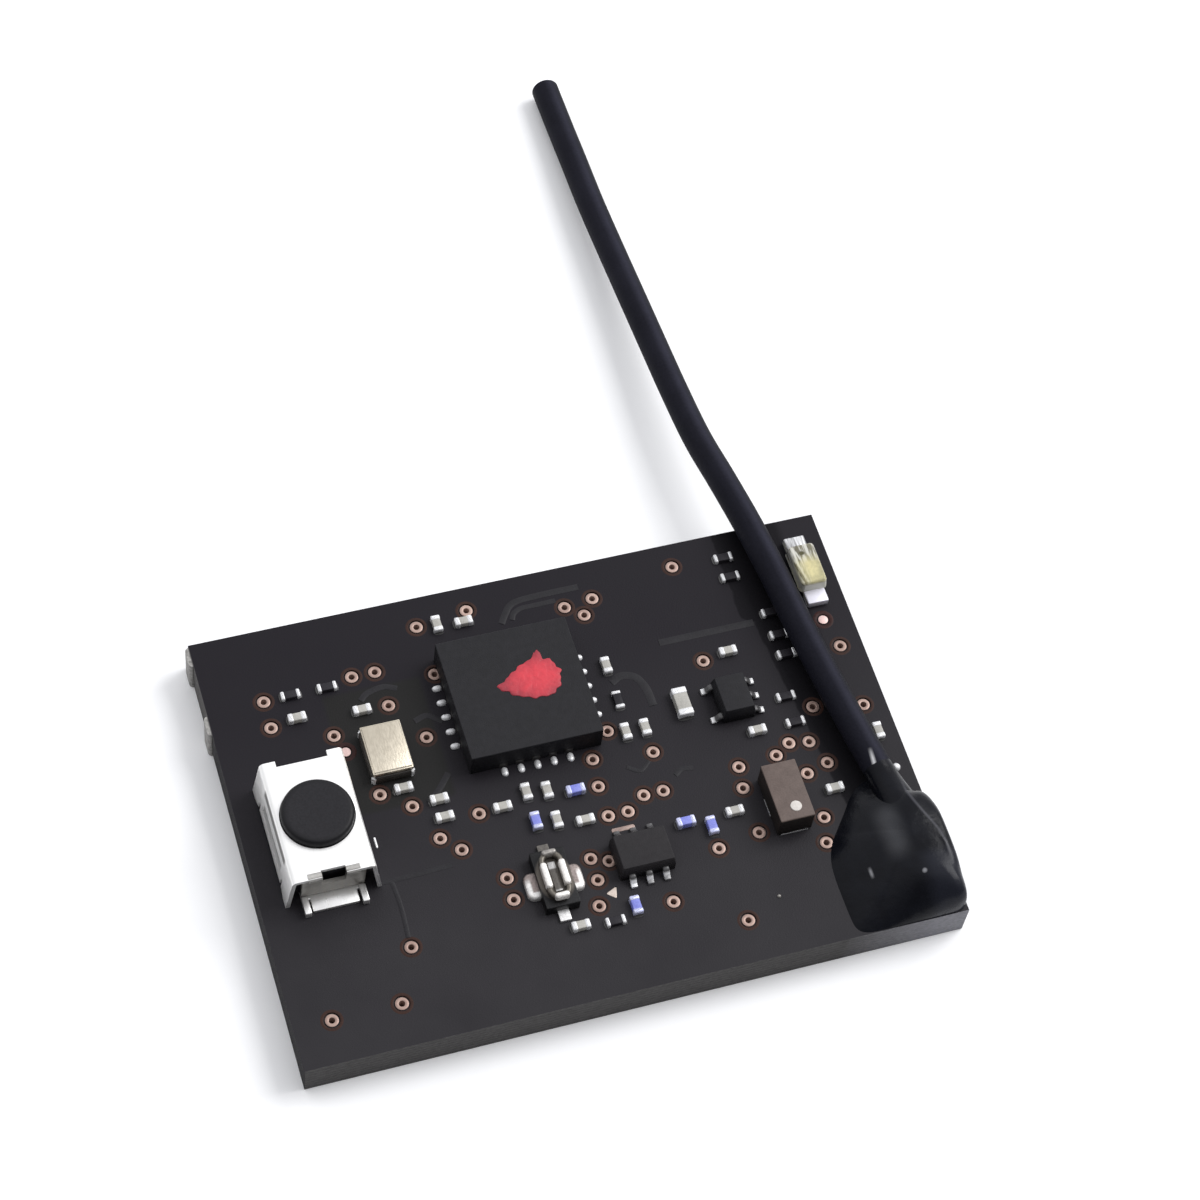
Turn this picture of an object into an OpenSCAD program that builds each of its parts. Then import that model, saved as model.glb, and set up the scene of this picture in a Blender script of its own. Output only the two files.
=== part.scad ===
// Radio receiver module: a black circuit board with surface-mounted parts, a push switch,
// and a sleeved wire aerial that is glued to one corner of the board.
// Origin: the middle of the board's underside. +X runs right, +Y to the back, +Z up.

/* [Circuit board] */
// Width of the board, left to right
board_w = 19.6; // [18:0.1:26]
// Depth of the board, front to back
board_d = 14; // [13:0.1:20]
// Thickness of the board with its solder mask
board_t = 1.2; // [0.8:0.1:2]
// Length of each nub left on the edge where the board was broken out of its panel
nub_l = 0.65; // [0.3:0.05:1.2]
// How far the nubs stand out of the edge
nub_out = 0.12; // [0.04:0.02:0.3]

/* [Copper] */
// Outer diameter of a via's ring
via_d = 0.38; // [0.34:0.02:0.6]
// Outer diameter of a via's plated barrel
via_barrel_d = 0.26; // [0.2:0.02:0.32]
// Diameter of the open hole in a via
via_hole_d = 0.16; // [0.08:0.02:0.18]
// Thickness of bare copper
copper_t = 0.04; // [0.02:0.01:0.08]
// Gap in the solder mask round bare copper
mask_gap = 0.05; // [0.02:0.01:0.1]
// Diameter of the solid copper dots
dot_d = 0.36; // [0.2:0.02:0.6]
// Width of a solder land on the underside
land_w = 0.8; // [0.4:0.1:1]
// Length of a solder land on the underside
land_l = 1.4; // [0.8:0.1:1.6]

/* [Push switch] */
// Width of the steel cover's top plate
cover_w = 2.4; // [2.3:0.05:3.2]
// Length of the steel cover's top plate
cover_l = 3.9; // [3.8:0.05:5]
// Height of the steel cover above the board
cover_h = 1.4; // [1.2:0.05:2]
// Thickness of the cover's sheet
sheet_t = 0.12; // [0.08:0.01:0.16]
// How far the cover's sides stand out at the board
wall_splay = 0.2; // [0.05:0.01:0.3]
// Diameter of the button
button_d = 2.1; // [1.6:0.05:2.1]
// Height of the button above the cover
button_rise = 0.25; // [0.22:0.01:0.5]
// How far the button can be pressed
button_travel = 0.2; // [0.1:0.01:0.22]
// Gap round the button and its flange
button_gap = 0.03; // [0.02:0.01:0.05]
// Gap between the moulded base and the cover
base_gap = 0.06; // [0.03:0.01:0.1]
// Width of the window in the cover's front edge
window_w = 0.7; // [0.4:0.05:1]
// Width of a solder terminal over its ears
terminal_w = 1.85; // [1.7:0.05:2.2]
// Width of the bar between the ears
bar_w = 1.35; // [1:0.05:1.4]
// How far the bar stands out past the end flap
terminal_out = 0.5; // [0.3:0.05:0.8]
// Thickness of a solder terminal
terminal_t = 0.12; // [0.08:0.01:0.16]

/* [Radio chip] */
// Side of the square body
radio_w = 4; // [3.6:0.1:4.4]
// Height of the body
radio_h = 0.88; // [0.6:0.02:1.1]
// Contacts along each side
radio_pins = 5; // [3:1:6]
// Pitch of the contacts
radio_pitch = 0.5; // [0.4:0.05:0.6]
// Width of a contact
radio_pin_w = 0.25; // [0.16:0.01:0.32]
// Length of a contact under the body
radio_pin_l = 0.4; // [0.3:0.05:0.6]
// Height of a contact on the body's wall
radio_pin_h = 0.2; // [0.1:0.02:0.3]
// Thickness of the dab of paint
paint_t = 0.03; // [0.01:0.01:0.08]

/* [Crystal] */
// Length of the ceramic base
crystal_l = 1.7; // [1.5:0.05:2.4]
// Width of the ceramic base
crystal_w = 1.28; // [1.1:0.02:1.8]
// Height of the ceramic base
crystal_base_h = 0.36; // [0.25:0.01:0.5]
// Height of the lid
crystal_lid_h = 0.18; // [0.1:0.01:0.3]
// Ledge of the base round the lid
crystal_ledge = 0.04; // [0.03:0.01:0.2]
// Radius of the corner notches that hold the terminals
crystal_notch = 0.12; // [0.08:0.01:0.2]

/* [Small moulded chips] */
// Length of the regulator's body, along its rows of leads
regulator_l = 1.3; // [1.25:0.05:1.8]
// Width of the regulator's body, across its rows of leads
regulator_w = 1; // [0.9:0.05:1.3]
// Length of the aerial switch's body, along its rows of leads
aerial_switch_l = 1.65; // [1.5:0.05:2]
// Width of the aerial switch's body, across its rows of leads
aerial_switch_w = 1.2; // [1.1:0.05:1.3]
// Height of a body
small_h = 0.6; // [0.4:0.05:0.8]
// Slope of the body's walls, as the inset at the top
small_draft = 0.06; // [0.02:0.01:0.12]
// Pitch of the leads
small_pitch = 0.5; // [0.45:0.05:0.65]
// Width of a lead
lead_w = 0.2; // [0.16:0.01:0.3]
// Thickness of a lead
lead_t = 0.1; // [0.08:0.01:0.14]
// Height at which a lead leaves the body
lead_rise = 0.28; // [0.2:0.02:0.34]
// How far a lead stands out of the body
lead_out = 0.32; // [0.24:0.02:0.5]

/* [Filter] */
// Length of the ceramic block
filter_l = 1.9; // [1.6:0.05:2.4]
// Width of the ceramic block
filter_w = 1.05; // [1:0.05:1.4]
// Height of the ceramic block
filter_h = 0.82; // [0.5:0.02:1.1]
// Thickness of the lands that the block stands on
filter_land_t = 0.04; // [0.02:0.01:0.08]
// Diameter of the dot on the block
filter_dot_d = 0.34; // [0.2:0.02:0.5]

/* [Test socket] */
// Length of the raised collar
socket_l = 1.55; // [1.4:0.05:1.9]
// Width of the raised collar
socket_w = 0.72; // [0.6:0.02:0.95]
// Height of the collar's ribs above the board
socket_h = 0.72; // [0.5:0.02:1]
// Height of a rib on the collar
socket_rib = 0.08; // [0.04:0.01:0.1]
// Wall of the collar
socket_wall = 0.16; // [0.1:0.01:0.2]
// Height of the moulded base
socket_base_h = 0.4; // [0.3:0.02:0.45]
// Margin of the moulded base round the collar
socket_margin = 0.14; // [0.05:0.01:0.2]
// Width over the two side straps
strap_span = 1.7; // [1.5:0.05:1.9]
// Length of a side strap
strap_l = 0.85; // [0.7:0.05:1.2]
// Thickness of a side strap's rim
strap_t = 0.2; // [0.1:0.01:0.3]
// Thickness of the web inside the rim
strap_web = 0.08; // [0.05:0.01:0.1]
// Width of a signal terminal
signal_w = 0.33; // [0.2:0.01:0.4]
// How far a signal terminal stands out of the base
signal_out = 0.32; // [0.1:0.02:0.45]

/* [Light] */
// Length over the terminals
light_l = 2.4; // [2.1:0.05:2.8]
// Width of the base and lens
light_w = 0.9; // [0.8:0.05:1.2]
// Height of the base
light_base_h = 0.2; // [0.12:0.02:0.3]
// Length of the lens
light_lens_l = 1.5; // [1.2:0.05:1.7]
// Height of the lens
light_lens_h = 0.4; // [0.25:0.02:0.6]
// Bevel on the lens's upright edges
light_bevel = 0.16; // [0.05:0.01:0.25]
// Width of a terminal
light_end_w = 0.65; // [0.5:0.05:0.8]
// Thickness of the plating on a terminal
light_end_t = 0.04; // [0.02:0.01:0.08]
// Side of the die inside the lens
light_die = 0.28; // [0.15:0.01:0.4]

/* [Chip parts] */
// Length of a small capacitor
cap_l = 0.54; // [0.5:0.02:0.7]
// Width of a small capacitor
cap_w = 0.28; // [0.25:0.01:0.4]
// Height of a small capacitor
cap_h = 0.2; // [0.15:0.01:0.4]
// Length of each end of a small capacitor
cap_end = 0.16; // [0.1:0.01:0.22]
// Length of a resistor
res_l = 0.58; // [0.5:0.02:0.7]
// Width of a resistor
res_w = 0.28; // [0.25:0.01:0.36]
// Height of a resistor
res_h = 0.15; // [0.12:0.01:0.3]
// Length of each end of a resistor
res_end = 0.12; // [0.08:0.01:0.2]
// Length of an inductor
ind_l = 0.56; // [0.5:0.02:0.7]
// Width of an inductor
ind_w = 0.29; // [0.25:0.01:0.4]
// Height of an inductor
ind_h = 0.24; // [0.16:0.01:0.4]
// Length of each end of an inductor
ind_end = 0.15; // [0.1:0.01:0.2]
// Length of the large capacitor
big_l = 0.94; // [0.8:0.02:1.1]
// Width of the large capacitor
big_w = 0.46; // [0.4:0.02:0.6]
// Height of the large capacitor
big_h = 0.3; // [0.2:0.02:0.6]
// Length of each end of the large capacitor
big_end = 0.22; // [0.15:0.01:0.3]
// Thickness of the metal on a chip part's ends
end_t = 0.02; // [0.01:0.005:0.04]
// How far solder spreads past an end
solder_out = 0.06; // [0.04:0.01:0.12]
// Height of solder as a share of the end it wets
solder_rise = 0.6; // [0.3:0.05:0.9]

/* [Aerial] */
// Outer diameter of the sleeve
sleeve_d = 0.9; // [0.7:0.02:1]
// Diameter of the wire core
core_d = 0.3; // [0.16:0.02:0.5]
// Length of bare core inside the glue
core_l = 0.9; // [0.5:0.1:1.4]
// Width of the glue, left to right
glue_w = 3.35; // [3:0.05:4]
// Depth of the glue, front to back
glue_d = 3.75; // [3.2:0.05:4.2]
// Height of the glue above the board
glue_h = 1.35; // [1.3:0.05:2.2]
// Distance of the glue from the board's edges
glue_edge = 0.04; // [0.02:0.01:0.2]

/* [Hidden] */
$fn = 48;

// Small overlap that makes cuts and joined solids run into each other
eps = 0.02;
// Running gap that keeps round pieces off their holes
fit_gap = 0.01;

// The layout grid divides the board into cells, 0.1 mm each way at the board's usual size,
// counted from its middle. Every part is placed by its cell, and some are turned.
grid_w = 196;
grid_d = 140;
function cell(c) = [c[0] * board_w / grid_w, c[1] * board_d / grid_d, board_t];

switch_at = [-77, -1];
radio_at = [-9, 28];
crystal_at = [-51, 20];
regulator_at = [53, 12.5];
aerial_switch_at = [11.5, -30];
filter_at = [57, -24];
socket_at = [-15.5, -32];
light_at = [89, 50];
big_at = [38, 15, 90];

caps_at = [
  [-73, 38, 0], [-54, 36, 0], [-49, 8, 0], [-40, 2, 0], [-40, -4, 0], [-23, -5, 0], [-17, 58, 0],
  [-1, -15, 0], [-12, -47, 0], [57, 29, 0], [57, 1, 0], [42, -23, 0], [73, -23, 0], [-25, 59, 90],
  [-15, -2, 90], [-9, -3, 90], [-9, -13, 90], [20, 33, 90], [19, 10, 90], [25, 10, 90], [92, -8, 90]];
ress_at = [
  [-73, 46, 0], [-62, 46, 0], [-2, -48, 0], [69, 10, 0], [69, 1, 0], [66, 61, 0], [66, 54, 0],
  [74, 39, 0], [74, 31, 0], [74, 24, 0], [20, 21, 90]];
inds_at = [[-1, -5, 0], [27, -23, 0], [-15, -12, 90], [34, -26, 90], [5, -45, 90]];

// Vias beside the switch and crystal, round the radio chip, along the signal path and by the aerial
vias_at = [
  [-81, 46], [-81, 37], [-64, 30], [-54, 48], [-47, 48], [-46, 36], [-38, 23], [-56, 8], [-48, 2],
  [-43, -10], [-38, -15], [-60, -41], [-87, -57], [-67, -57],
  [-31, 60], [-15, 62], [-30, 43], [-30, -5], [14, 56], [23, 57], [19, 52], [14, 12], [7, 4], [6, -5],
  [-28, -27], [-28, -34], [-3, -27], [-3, -34], [-5, -42], [2, -29], [6, -15], [12, -15], [18, -11],
  [24, -11], [25, 2], [16, -46], [35, -57], [34, -33],
  [50, 62], [49, 28], [48, -9], [47, -16], [47, -31], [60, -8], [65, -5], [71, -6], [67, -16],
  [74, -14], [67, -31], [65, -39], [76, 5], [91, 23], [91, 2]];
dots_at = [[-62, 24], [89, 33]];
triangle_at = [0, -39];
strip_at = [9, -20];
lands_at = [[-55, -59], [-43, -59], [-31, -59], [-19, -59], [-7, -59], [5, -59]];
solder_dots_at = [[93, -21], [46, -52], [-61, -7]];

// Edge nubs, as the grid rows of their middles
nubs_at = [66, 42];

// The aerial's route over the board, from inside the glue to the back edge. Each point is its distance
// from the right edge, its grid row, and how far the sleeve is above the board. It lies on the resistors there.
route_near = [
  [0.84, -46, res_h / 3], [1.12, -28, res_h * 2 / 3], [1.4, -10, res_h], [1.66, 10, res_h], [1.88, 30, res_h],
  [2.05, 50, res_h], [2.23, 68, res_h * 2 / 3]];
// Its free end. Each point is its distance from the right edge, its distance behind the back edge, and
// the share of the height over the table that is left there. The tip rests on the table.
route_far = [
  [2.45, 1.6, 0.92], [2.65, 3.4, 0.76], [2.75, 5.4, 0.64], [2.8, 7.4, 0.52], [2.85, 9.5, 0.4],
  [2.9, 11.6, 0.28], [2.95, 13.6, 0.2], [2.95, 15.6, 0.12], [2.95, 17.4, 0.04], [2.95, 19, 0]];
sleeve_z = board_t + sleeve_d / 2;
sleeve_drop = board_t + route_near[len(route_near) - 1][2];
route = concat(
  [for (p = route_near) [board_w / 2 - p[0], p[1] * board_d / grid_d, sleeve_z + p[2]]],
  [for (p = route_far) [board_w / 2 - p[0], board_d / 2 + p[1], sleeve_d / 2 + p[2] * sleeve_drop]]);
route_sides = 8;

// Chip parts: length, width, height and end
cap_size = [cap_l, cap_w, cap_h, cap_end];
res_size = [res_l, res_w, res_h, res_end];
ind_size = [ind_l, ind_w, ind_h, ind_end];
big_size = [big_l, big_w, big_h, big_end];

// Push switch, measured up from the board
flap_lean = 0.15;
wall_foot = 0.3;
side_slot = [2, 0.17, 0.63];
leg_slit = 0.1;
leg_l = 0.65;
leg_foot = 0.3;
hump_l = 0.4;
hump_d = 0.28;
hump_drop = 0.12;
window_h = 0.55;
window_d = 0.44;
rear_notch = [1.5, 0.38];
past = 1;
bar_back = 0.1;
ear_w = 0.18;
ear_out = 0.6;
ear_h = 0.24;
base_w = cover_w - 2 * (sheet_t + base_gap);
base_l = cover_l - 2 * (sheet_t + base_gap + flap_lean);
base_h = cover_h - sheet_t - base_gap;
side_wall = 0.12;
end_wall = 0.35;
well_w = base_w - 2 * side_wall;
well_l = base_l - 2 * end_wall;
flange_t = 0.2;
flange_top = cover_h - sheet_t - fit_gap;
plunger_d = 0.7;
plunger_l = 0.28;
dome_d = 1.7;
dome_rise = 0.28;
dome_t = 0.05;
well_floor = flange_top - flange_t - plunger_l - fit_gap - dome_rise;
hole_d = button_d + 2 * button_gap;

// Bent lead, seen from the side: distance from the body's wall, and height
lead_gap = 0.02;
lead_lean = 0.03;
lead_knee = lead_t + lead_gap;
lead_profile = [
  [0, lead_rise], [lead_knee, lead_rise], [lead_knee + lead_lean, lead_t], [lead_out, lead_t], [lead_out, 0],
  [lead_gap + lead_lean, 0], [lead_gap, lead_rise - lead_t], [0, lead_rise - lead_t]];

// The filter's printed dot, from the block's middle to the right and from its front edge
filter_dot_in = [0.06, 0.4];

// Solder left on the board's bare spots
spot_d = 0.22;
spot_h = 0.06;

// Glue, measured from the corner that it covers
glue_mid = [board_w / 2 - glue_edge - glue_w / 2, -board_d / 2 + glue_edge + glue_d / 2];
glue_rings = 8;
glue_steps = 32;
glue_fullness = 3.6;
glue_top = glue_mid + [0.6, 0.1];
// How fast the glue draws in and rises, on its steep right side and its low left side
glue_draw = [0.5, 1.5];
glue_rise = [0.7, 2];
neck_l = 2.3;
neck_r = 0.85;

// A part placed on the board: c is its cell, with its turn
module place(c) {
  translate(cell(c))
    rotate(is_undef(c[2]) ? 0 : c[2])
      children();
}

// A block that stands on the board, centred on its place
module block(l, w, h) {
  translate([-l / 2, -w / 2, 0])
    cube([l, w, h]);
}

// A rounded slot outline
module slot_outline(l, w) {
  square([l - w, w], center = true);
  for (s = [-1, 1])
    translate([s * (l - w) / 2, 0])
      circle(d = w);
}

module circuit_board() {
  color("#1d1c20")
    difference() {
      union() {
        translate([-board_w / 2, -board_d / 2, 0])
          cube([board_w, board_d, board_t]);
        for (row = nubs_at)
          translate([-board_w / 2, row * board_d / grid_d, 0])
            edge_nub();
      }
      for (c = vias_at)
        translate([c[0] * board_w / grid_w, c[1] * board_d / grid_d, 0])
          via_opening();
      for (c = dots_at)
        place(c)
          mask_opening()
            circle(d = dot_d + 2 * mask_gap);
      place(triangle_at)
        mask_opening()
          marker_outline();
      place(strip_at)
        mask_opening()
          strip_outline();
      for (c = lands_at)
        translate([cell(c)[0], cell(c)[1], -eps])
          block(land_w, land_l, copper_t + eps);
    }
}

// A nub with round ends, as the break leaves it
module edge_nub() {
  linear_extrude(board_t)
    intersection() {
      slot_outline_upright(nub_l, 2 * nub_out);
      translate([-nub_out, -nub_l / 2])
        square([nub_out + eps, nub_l]);
    }
}

module slot_outline_upright(l, w) {
  rotate(90)
    slot_outline(l, w);
}

// The drilled hole and the openings in the mask at both of its ends
module via_opening() {
  translate([0, 0, -eps])
    cylinder(d = via_barrel_d + 2 * fit_gap, h = board_t + 2 * eps);
  for (z = [-eps, board_t - copper_t])
    translate([0, 0, z])
      cylinder(d = via_d + 2 * mask_gap, h = copper_t + eps);
}

// A shallow opening in the mask over the board's top, with the given outline
module mask_opening() {
  translate([0, 0, -copper_t])
    linear_extrude(copper_t + eps)
      children();
}

module marker_outline() {
  polygon([[-0.2, 0.02], [0.16, 0.18], [0.06, -0.2]]);
}

module strip_outline() {
  square([0.7, 0.14], center = true);
}

// Each via is one turned piece: a barrel with a flat ring at both ends
module vias() {
  color("#c9ad97")
    for (c = vias_at)
      translate([c[0] * board_w / grid_w, c[1] * board_d / grid_d, 0])
        rotate_extrude()
          polygon([
            [via_hole_d / 2, 0], [via_d / 2, 0], [via_d / 2, copper_t], [via_barrel_d / 2, copper_t],
            [via_barrel_d / 2, board_t - copper_t], [via_d / 2, board_t - copper_t], [via_d / 2, board_t],
            [via_hole_d / 2, board_t]]);
}

module copper_marks() {
  color("#e3c0b0") {
    for (c = dots_at)
      place(c)
        translate([0, 0, -copper_t])
          cylinder(d = dot_d, h = copper_t);
    place(triangle_at)
      translate([0, 0, -copper_t])
        linear_extrude(copper_t)
          marker_outline();
    place(strip_at)
      translate([0, 0, -copper_t])
        linear_extrude(copper_t)
          strip_outline();
  }
}

module solder_lands() {
  color("#c9c9c4")
    for (c = lands_at)
      translate([cell(c)[0], cell(c)[1], 0])
        block(land_w, land_l, copper_t);
}

// Moulded base: a block with a well for the button's flange and the dome, cut for the terminals
module switch_base() {
  color("#18181a")
    place(switch_at)
      difference() {
        block(base_w, base_l, base_h);
        translate([0, 0, well_floor])
          block(well_w, well_l, base_h);
        translate([0, 0, base_h - button_travel - 2 * button_gap])
          cylinder(d = button_d + 4 * button_gap, h = base_h);
        for (s = [-1, 1])
          translate([0, s * base_l / 2, -eps])
            block(terminal_w + 2 * fit_gap, 2 * end_wall, terminal_t + fit_gap + eps);
      }
}

// Cover folded from one sheet: a top plate, leaning sides that are cut into a slotted wall and two
// corner legs, and two end flaps, the front one with a window between its two bends
module switch_cover() {
  color("#e9e9e6")
    place(switch_at)
      difference() {
        union() {
          translate([0, 0, cover_h - sheet_t])
            block(cover_w, cover_l, sheet_t);
          for (s = [-1, 1]) {
            cover_side(s);
            cover_flap(s);
          }
          for (x = [-1, 1])
            translate([x * (window_w + hump_l) / 2 - hump_l / 2, hump_drop - cover_l / 2, cover_h - hump_drop])
              rotate([0, 90, 0])
                cylinder(d = hump_d, h = hump_l);
        }
        translate([0, 0, cover_h - 2 * sheet_t])
          cylinder(d = hole_d, h = 4 * sheet_t);
        translate([0, cover_l / 2, cover_h - 2 * sheet_t])
          block(rear_notch[0], rear_notch[1], 4 * sheet_t);
        translate([0, -cover_l / 2, cover_h - window_h])
          block(window_w, window_d, window_h + past);
        rotate([90, 0, 90])
          translate([0, 0, -cover_w])
            linear_extrude(2 * cover_w)
              side_cuts();
      }
}

// One side of the cover, over its whole length: it leans out from the plate's edge to the board
module cover_side(s) {
  wall = s * cover_w / 2;
  foot = s * (cover_w / 2 + wall_splay);
  rotate([90, 0, 0])
    translate([0, 0, -cover_l / 2])
      linear_extrude(cover_l)
        polygon([[wall, cover_h], [wall - s * sheet_t, cover_h], [foot - s * sheet_t, 0], [foot, 0]]);
}

// What is cut out of both sides, seen from the side: the space under the wall, which leaves tapered legs,
// the slits beside the legs, and the long slot
module side_cuts() {
  inner = cover_l / 2 - leg_l;
  foot = cover_l / 2 - leg_foot;
  polygon([[-foot, -past], [foot, -past], [foot, 0], [inner, wall_foot], [-inner, wall_foot], [-foot, 0]]);
  for (s = [-1, 1])
    translate([s * (inner - leg_slit / 2) - leg_slit / 2, wall_foot - eps])
      square([leg_slit, side_slot[2] - wall_foot + eps]);
  translate([-side_slot[0] / 2, side_slot[2]])
    square([side_slot[0], side_slot[1]]);
}

// End flap: leans in towards the base and stops above the terminal
module cover_flap(s) {
  wall = s * cover_l / 2;
  low = terminal_t + fit_gap;
  toe = s * (cover_l / 2 - flap_lean);
  rotate([90, 0, 90])
    translate([0, 0, -terminal_w / 2])
      linear_extrude(terminal_w)
        polygon([
          [wall, cover_h], [wall - s * sheet_t, cover_h], [wall - s * sheet_t, cover_h - sheet_t],
          [toe - s * sheet_t, low], [toe, low], [wall, cover_h - sheet_t]]);
}

// Round button on a flange that the cover holds down, with a plunger over the dome
module switch_button() {
  color("#2b2b2f")
    place(switch_at) {
      translate([0, 0, flange_top - flange_t])
        block(well_w - 2 * button_gap, well_l - 2 * button_gap, flange_t);
      translate([0, 0, flange_top - eps])
        button_crown(cover_h + button_rise - flange_top + eps);
      translate([0, 0, flange_top - flange_t - plunger_l])
        cylinder(d = plunger_d, h = plunger_l + eps);
    }
}

// The crown is turned, with a bevelled rim
module button_crown(h) {
  rim = 0.06;
  rotate_extrude()
    polygon([[0, 0], [button_d / 2, 0], [button_d / 2, h - rim], [button_d / 2 - rim, h], [0, h]]);
}

// Snap dome: a thin shell of even thickness turned from two arcs
module switch_dome() {
  color("#c8c4b8")
    place(switch_at)
      translate([0, 0, well_floor])
        rotate_extrude()
          polygon(concat(
            [for (i = [0 : 8]) dome_point(i / 8, dome_rise)],
            [for (i = [8 : -1 : 0]) dome_point(i / 8, dome_rise - dome_t)]));
}

// Point on the dome's profile: u runs from the middle to the rim
function dome_point(u, rise) =
  [u * dome_d / 2, (rise - (dome_rise - dome_t)) * u + rise * (1 - u * u)];

// Solder terminals: a plate that starts under the base, with a bar and two raised ears in front of the end flap
module switch_terminals() {
  start = base_l / 2 - end_wall + fit_gap;
  toe = cover_l / 2 - flap_lean;
  color("#efefec")
    place(switch_at)
      for (turn = [0, 180])
        rotate(turn) {
          terminal_step(0, terminal_w, start, toe + bar_back, terminal_t);
          terminal_step(0, bar_w, toe, toe + terminal_out, terminal_t);
          for (s = [-1, 1])
            terminal_step(s * (terminal_w - ear_w) / 2, ear_w, toe + bar_back / 2, toe + ear_out, ear_h);
        }
}

// One step of a terminal: its middle and width across, where it starts and ends, and its height
module terminal_step(x, w, start, end, h) {
  translate([x, (start + end) / 2, 0])
    block(w, end - start, h);
}

// A contact's place along each side of the radio chip
module along_radio_sides() {
  for (side = [0 : 3])
    rotate(90 * side)
      for (i = [0 : radio_pins - 1])
        translate([(i - (radio_pins - 1) / 2) * radio_pitch, -radio_w / 2, 0])
          children();
}

module radio_pin() {
  translate([-radio_pin_w / 2, 0, 0])
    cube([radio_pin_w, radio_pin_l, radio_pin_h]);
}

module radio_body() {
  color("#2a292c")
    place(radio_at)
      difference() {
        block(radio_w, radio_w, radio_h);
        along_radio_sides()
          translate([0, -eps, -eps])
            translate([-radio_pin_w / 2, 0, 0])
              cube([radio_pin_w, radio_pin_l + eps, radio_pin_h + eps]);
      }
}

module radio_contacts() {
  color("#dcdcd8")
    place(radio_at)
      along_radio_sides()
        radio_pin();
}

// Dab of paint: runs of round spots that flow together
module paint_dab() {
  spots = [[0.48, -0.12, 0.53], [0.3, 0.25, 0.4], [0, -0.22, 0.5], [-0.5, -0.2, 0.36], [0.5, 0.55, 0.22]];
  color("#e5404c")
    place(radio_at)
      translate([0.35, 0.25, radio_h])
        linear_extrude(paint_t)
          for (p = spots)
            translate([p[0], p[1]])
              circle(r = p[2]);
}

// Corners of the crystal's base
module at_crystal_corners() {
  for (x = [-1, 1])
    for (y = [-1, 1])
      translate([x * crystal_w / 2, y * crystal_l / 2, 0])
        children();
}

module crystal_base() {
  color("#3a3530")
    place(crystal_at)
      difference() {
        block(crystal_w, crystal_l, crystal_base_h);
        at_crystal_corners()
          translate([0, 0, -eps])
            cylinder(r = crystal_notch, h = crystal_base_h + 2 * eps);
      }
}

module crystal_lid() {
  rim = 0.04;
  lid_w = crystal_w - 2 * crystal_ledge;
  lid_l = crystal_l - 2 * crystal_ledge;
  color("#d9cfb8")
    place(crystal_at)
      translate([0, 0, crystal_base_h]) {
        block(lid_w, lid_l, crystal_lid_h - rim);
        block(lid_w - 2 * rim, lid_l - 2 * rim, crystal_lid_h);
      }
}

// Terminals: quarter-round plating that fills the lower part of each corner notch
module crystal_terminals() {
  color("#d8d4c8")
    place(crystal_at)
      intersection() {
        at_crystal_corners()
          difference() {
            cylinder(r = crystal_notch - fit_gap, h = crystal_base_h * 0.8);
            translate([0, 0, -eps])
              cylinder(r = crystal_notch * 0.4, h = crystal_base_h);
          }
        block(crystal_w, crystal_l, crystal_base_h);
      }
}

// Moulded body with sloping walls, for chips with two rows of leads along X
module small_body(l, w) {
  intersection() {
    rotate([90, 0, 0])
      translate([0, 0, -w])
        linear_extrude(2 * w)
          wall_outline(l);
    rotate([90, 0, 90])
      translate([0, 0, -l])
        linear_extrude(2 * l)
          wall_outline(w);
  }
}

// Upright outline: straight up to the leads' top, then drawn in to the top face
module wall_outline(w) {
  polygon([
    [-w / 2, 0], [w / 2, 0], [w / 2, lead_rise], [w / 2 - small_draft, small_h],
    [small_draft - w / 2, small_h], [-w / 2, lead_rise]]);
}

// Bent leads at the given steps of the pitch, on the front row (s = -1) or the back row (s = 1) of a body of
// width w. Each goes out of the body's wall, down, and along the board.
module small_leads(w, s, steps) {
  for (i = steps)
    translate([i * small_pitch - lead_w / 2, s * w / 2, 0])
      rotate([90, 0, 90])
        linear_extrude(lead_w)
          polygon([for (p = lead_profile) [s * p[0], p[1]]]);
}

module regulator_body() {
  color("#2c2c30")
    place(regulator_at)
      rotate(90)
        small_body(regulator_l, regulator_w);
}

module regulator_leads() {
  color("#dededa")
    place(regulator_at)
      rotate(90) {
        small_leads(regulator_w, -1, [-1, 0, 1]);
        small_leads(regulator_w, 1, [-1, 1]);
      }
}

module aerial_switch_body() {
  color("#2c2c30")
    place(aerial_switch_at)
      small_body(aerial_switch_l, aerial_switch_w);
}

module aerial_switch_leads() {
  color("#dededa")
    place(aerial_switch_at) {
      small_leads(aerial_switch_w, -1, [-1, 0, 1]);
      small_leads(aerial_switch_w, 1, [-1, 0, 1]);
    }
}

module filter_body() {
  color("#8c7f78")
    place(filter_at)
      translate([0, 0, filter_land_t])
        block(filter_w, filter_l, filter_h);
}

// The block stands on a land at each end and one at each side
module filter_lands() {
  color("#d2d2cd")
    place(filter_at) {
      for (s = [-1, 1]) {
        translate([0, s * (filter_l / 2 - 0.15), 0])
          block(filter_w * 0.8, 0.3, filter_land_t);
        translate([s * (filter_w / 2 - 0.14), 0, 0])
          block(0.28, filter_l * 0.3, filter_land_t);
      }
    }
}

module filter_dot() {
  color("#e9e2dc")
    place(filter_at)
      translate([filter_dot_in[0], filter_dot_in[1] - filter_l / 2, filter_land_t + filter_h])
        cylinder(d = filter_dot_d, h = paint_t);
}

module socket_base() {
  color("#161618")
    place(socket_at)
      difference() {
        block(socket_w + 2 * socket_margin, socket_l + 2 * socket_margin, socket_base_h);
        for (s = [-1, 1])
          translate([0, s * (socket_l / 2 + socket_margin), -eps])
            block(signal_w + 2 * fit_gap, 0.5, lead_t + fit_gap + eps);
      }
}

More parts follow.
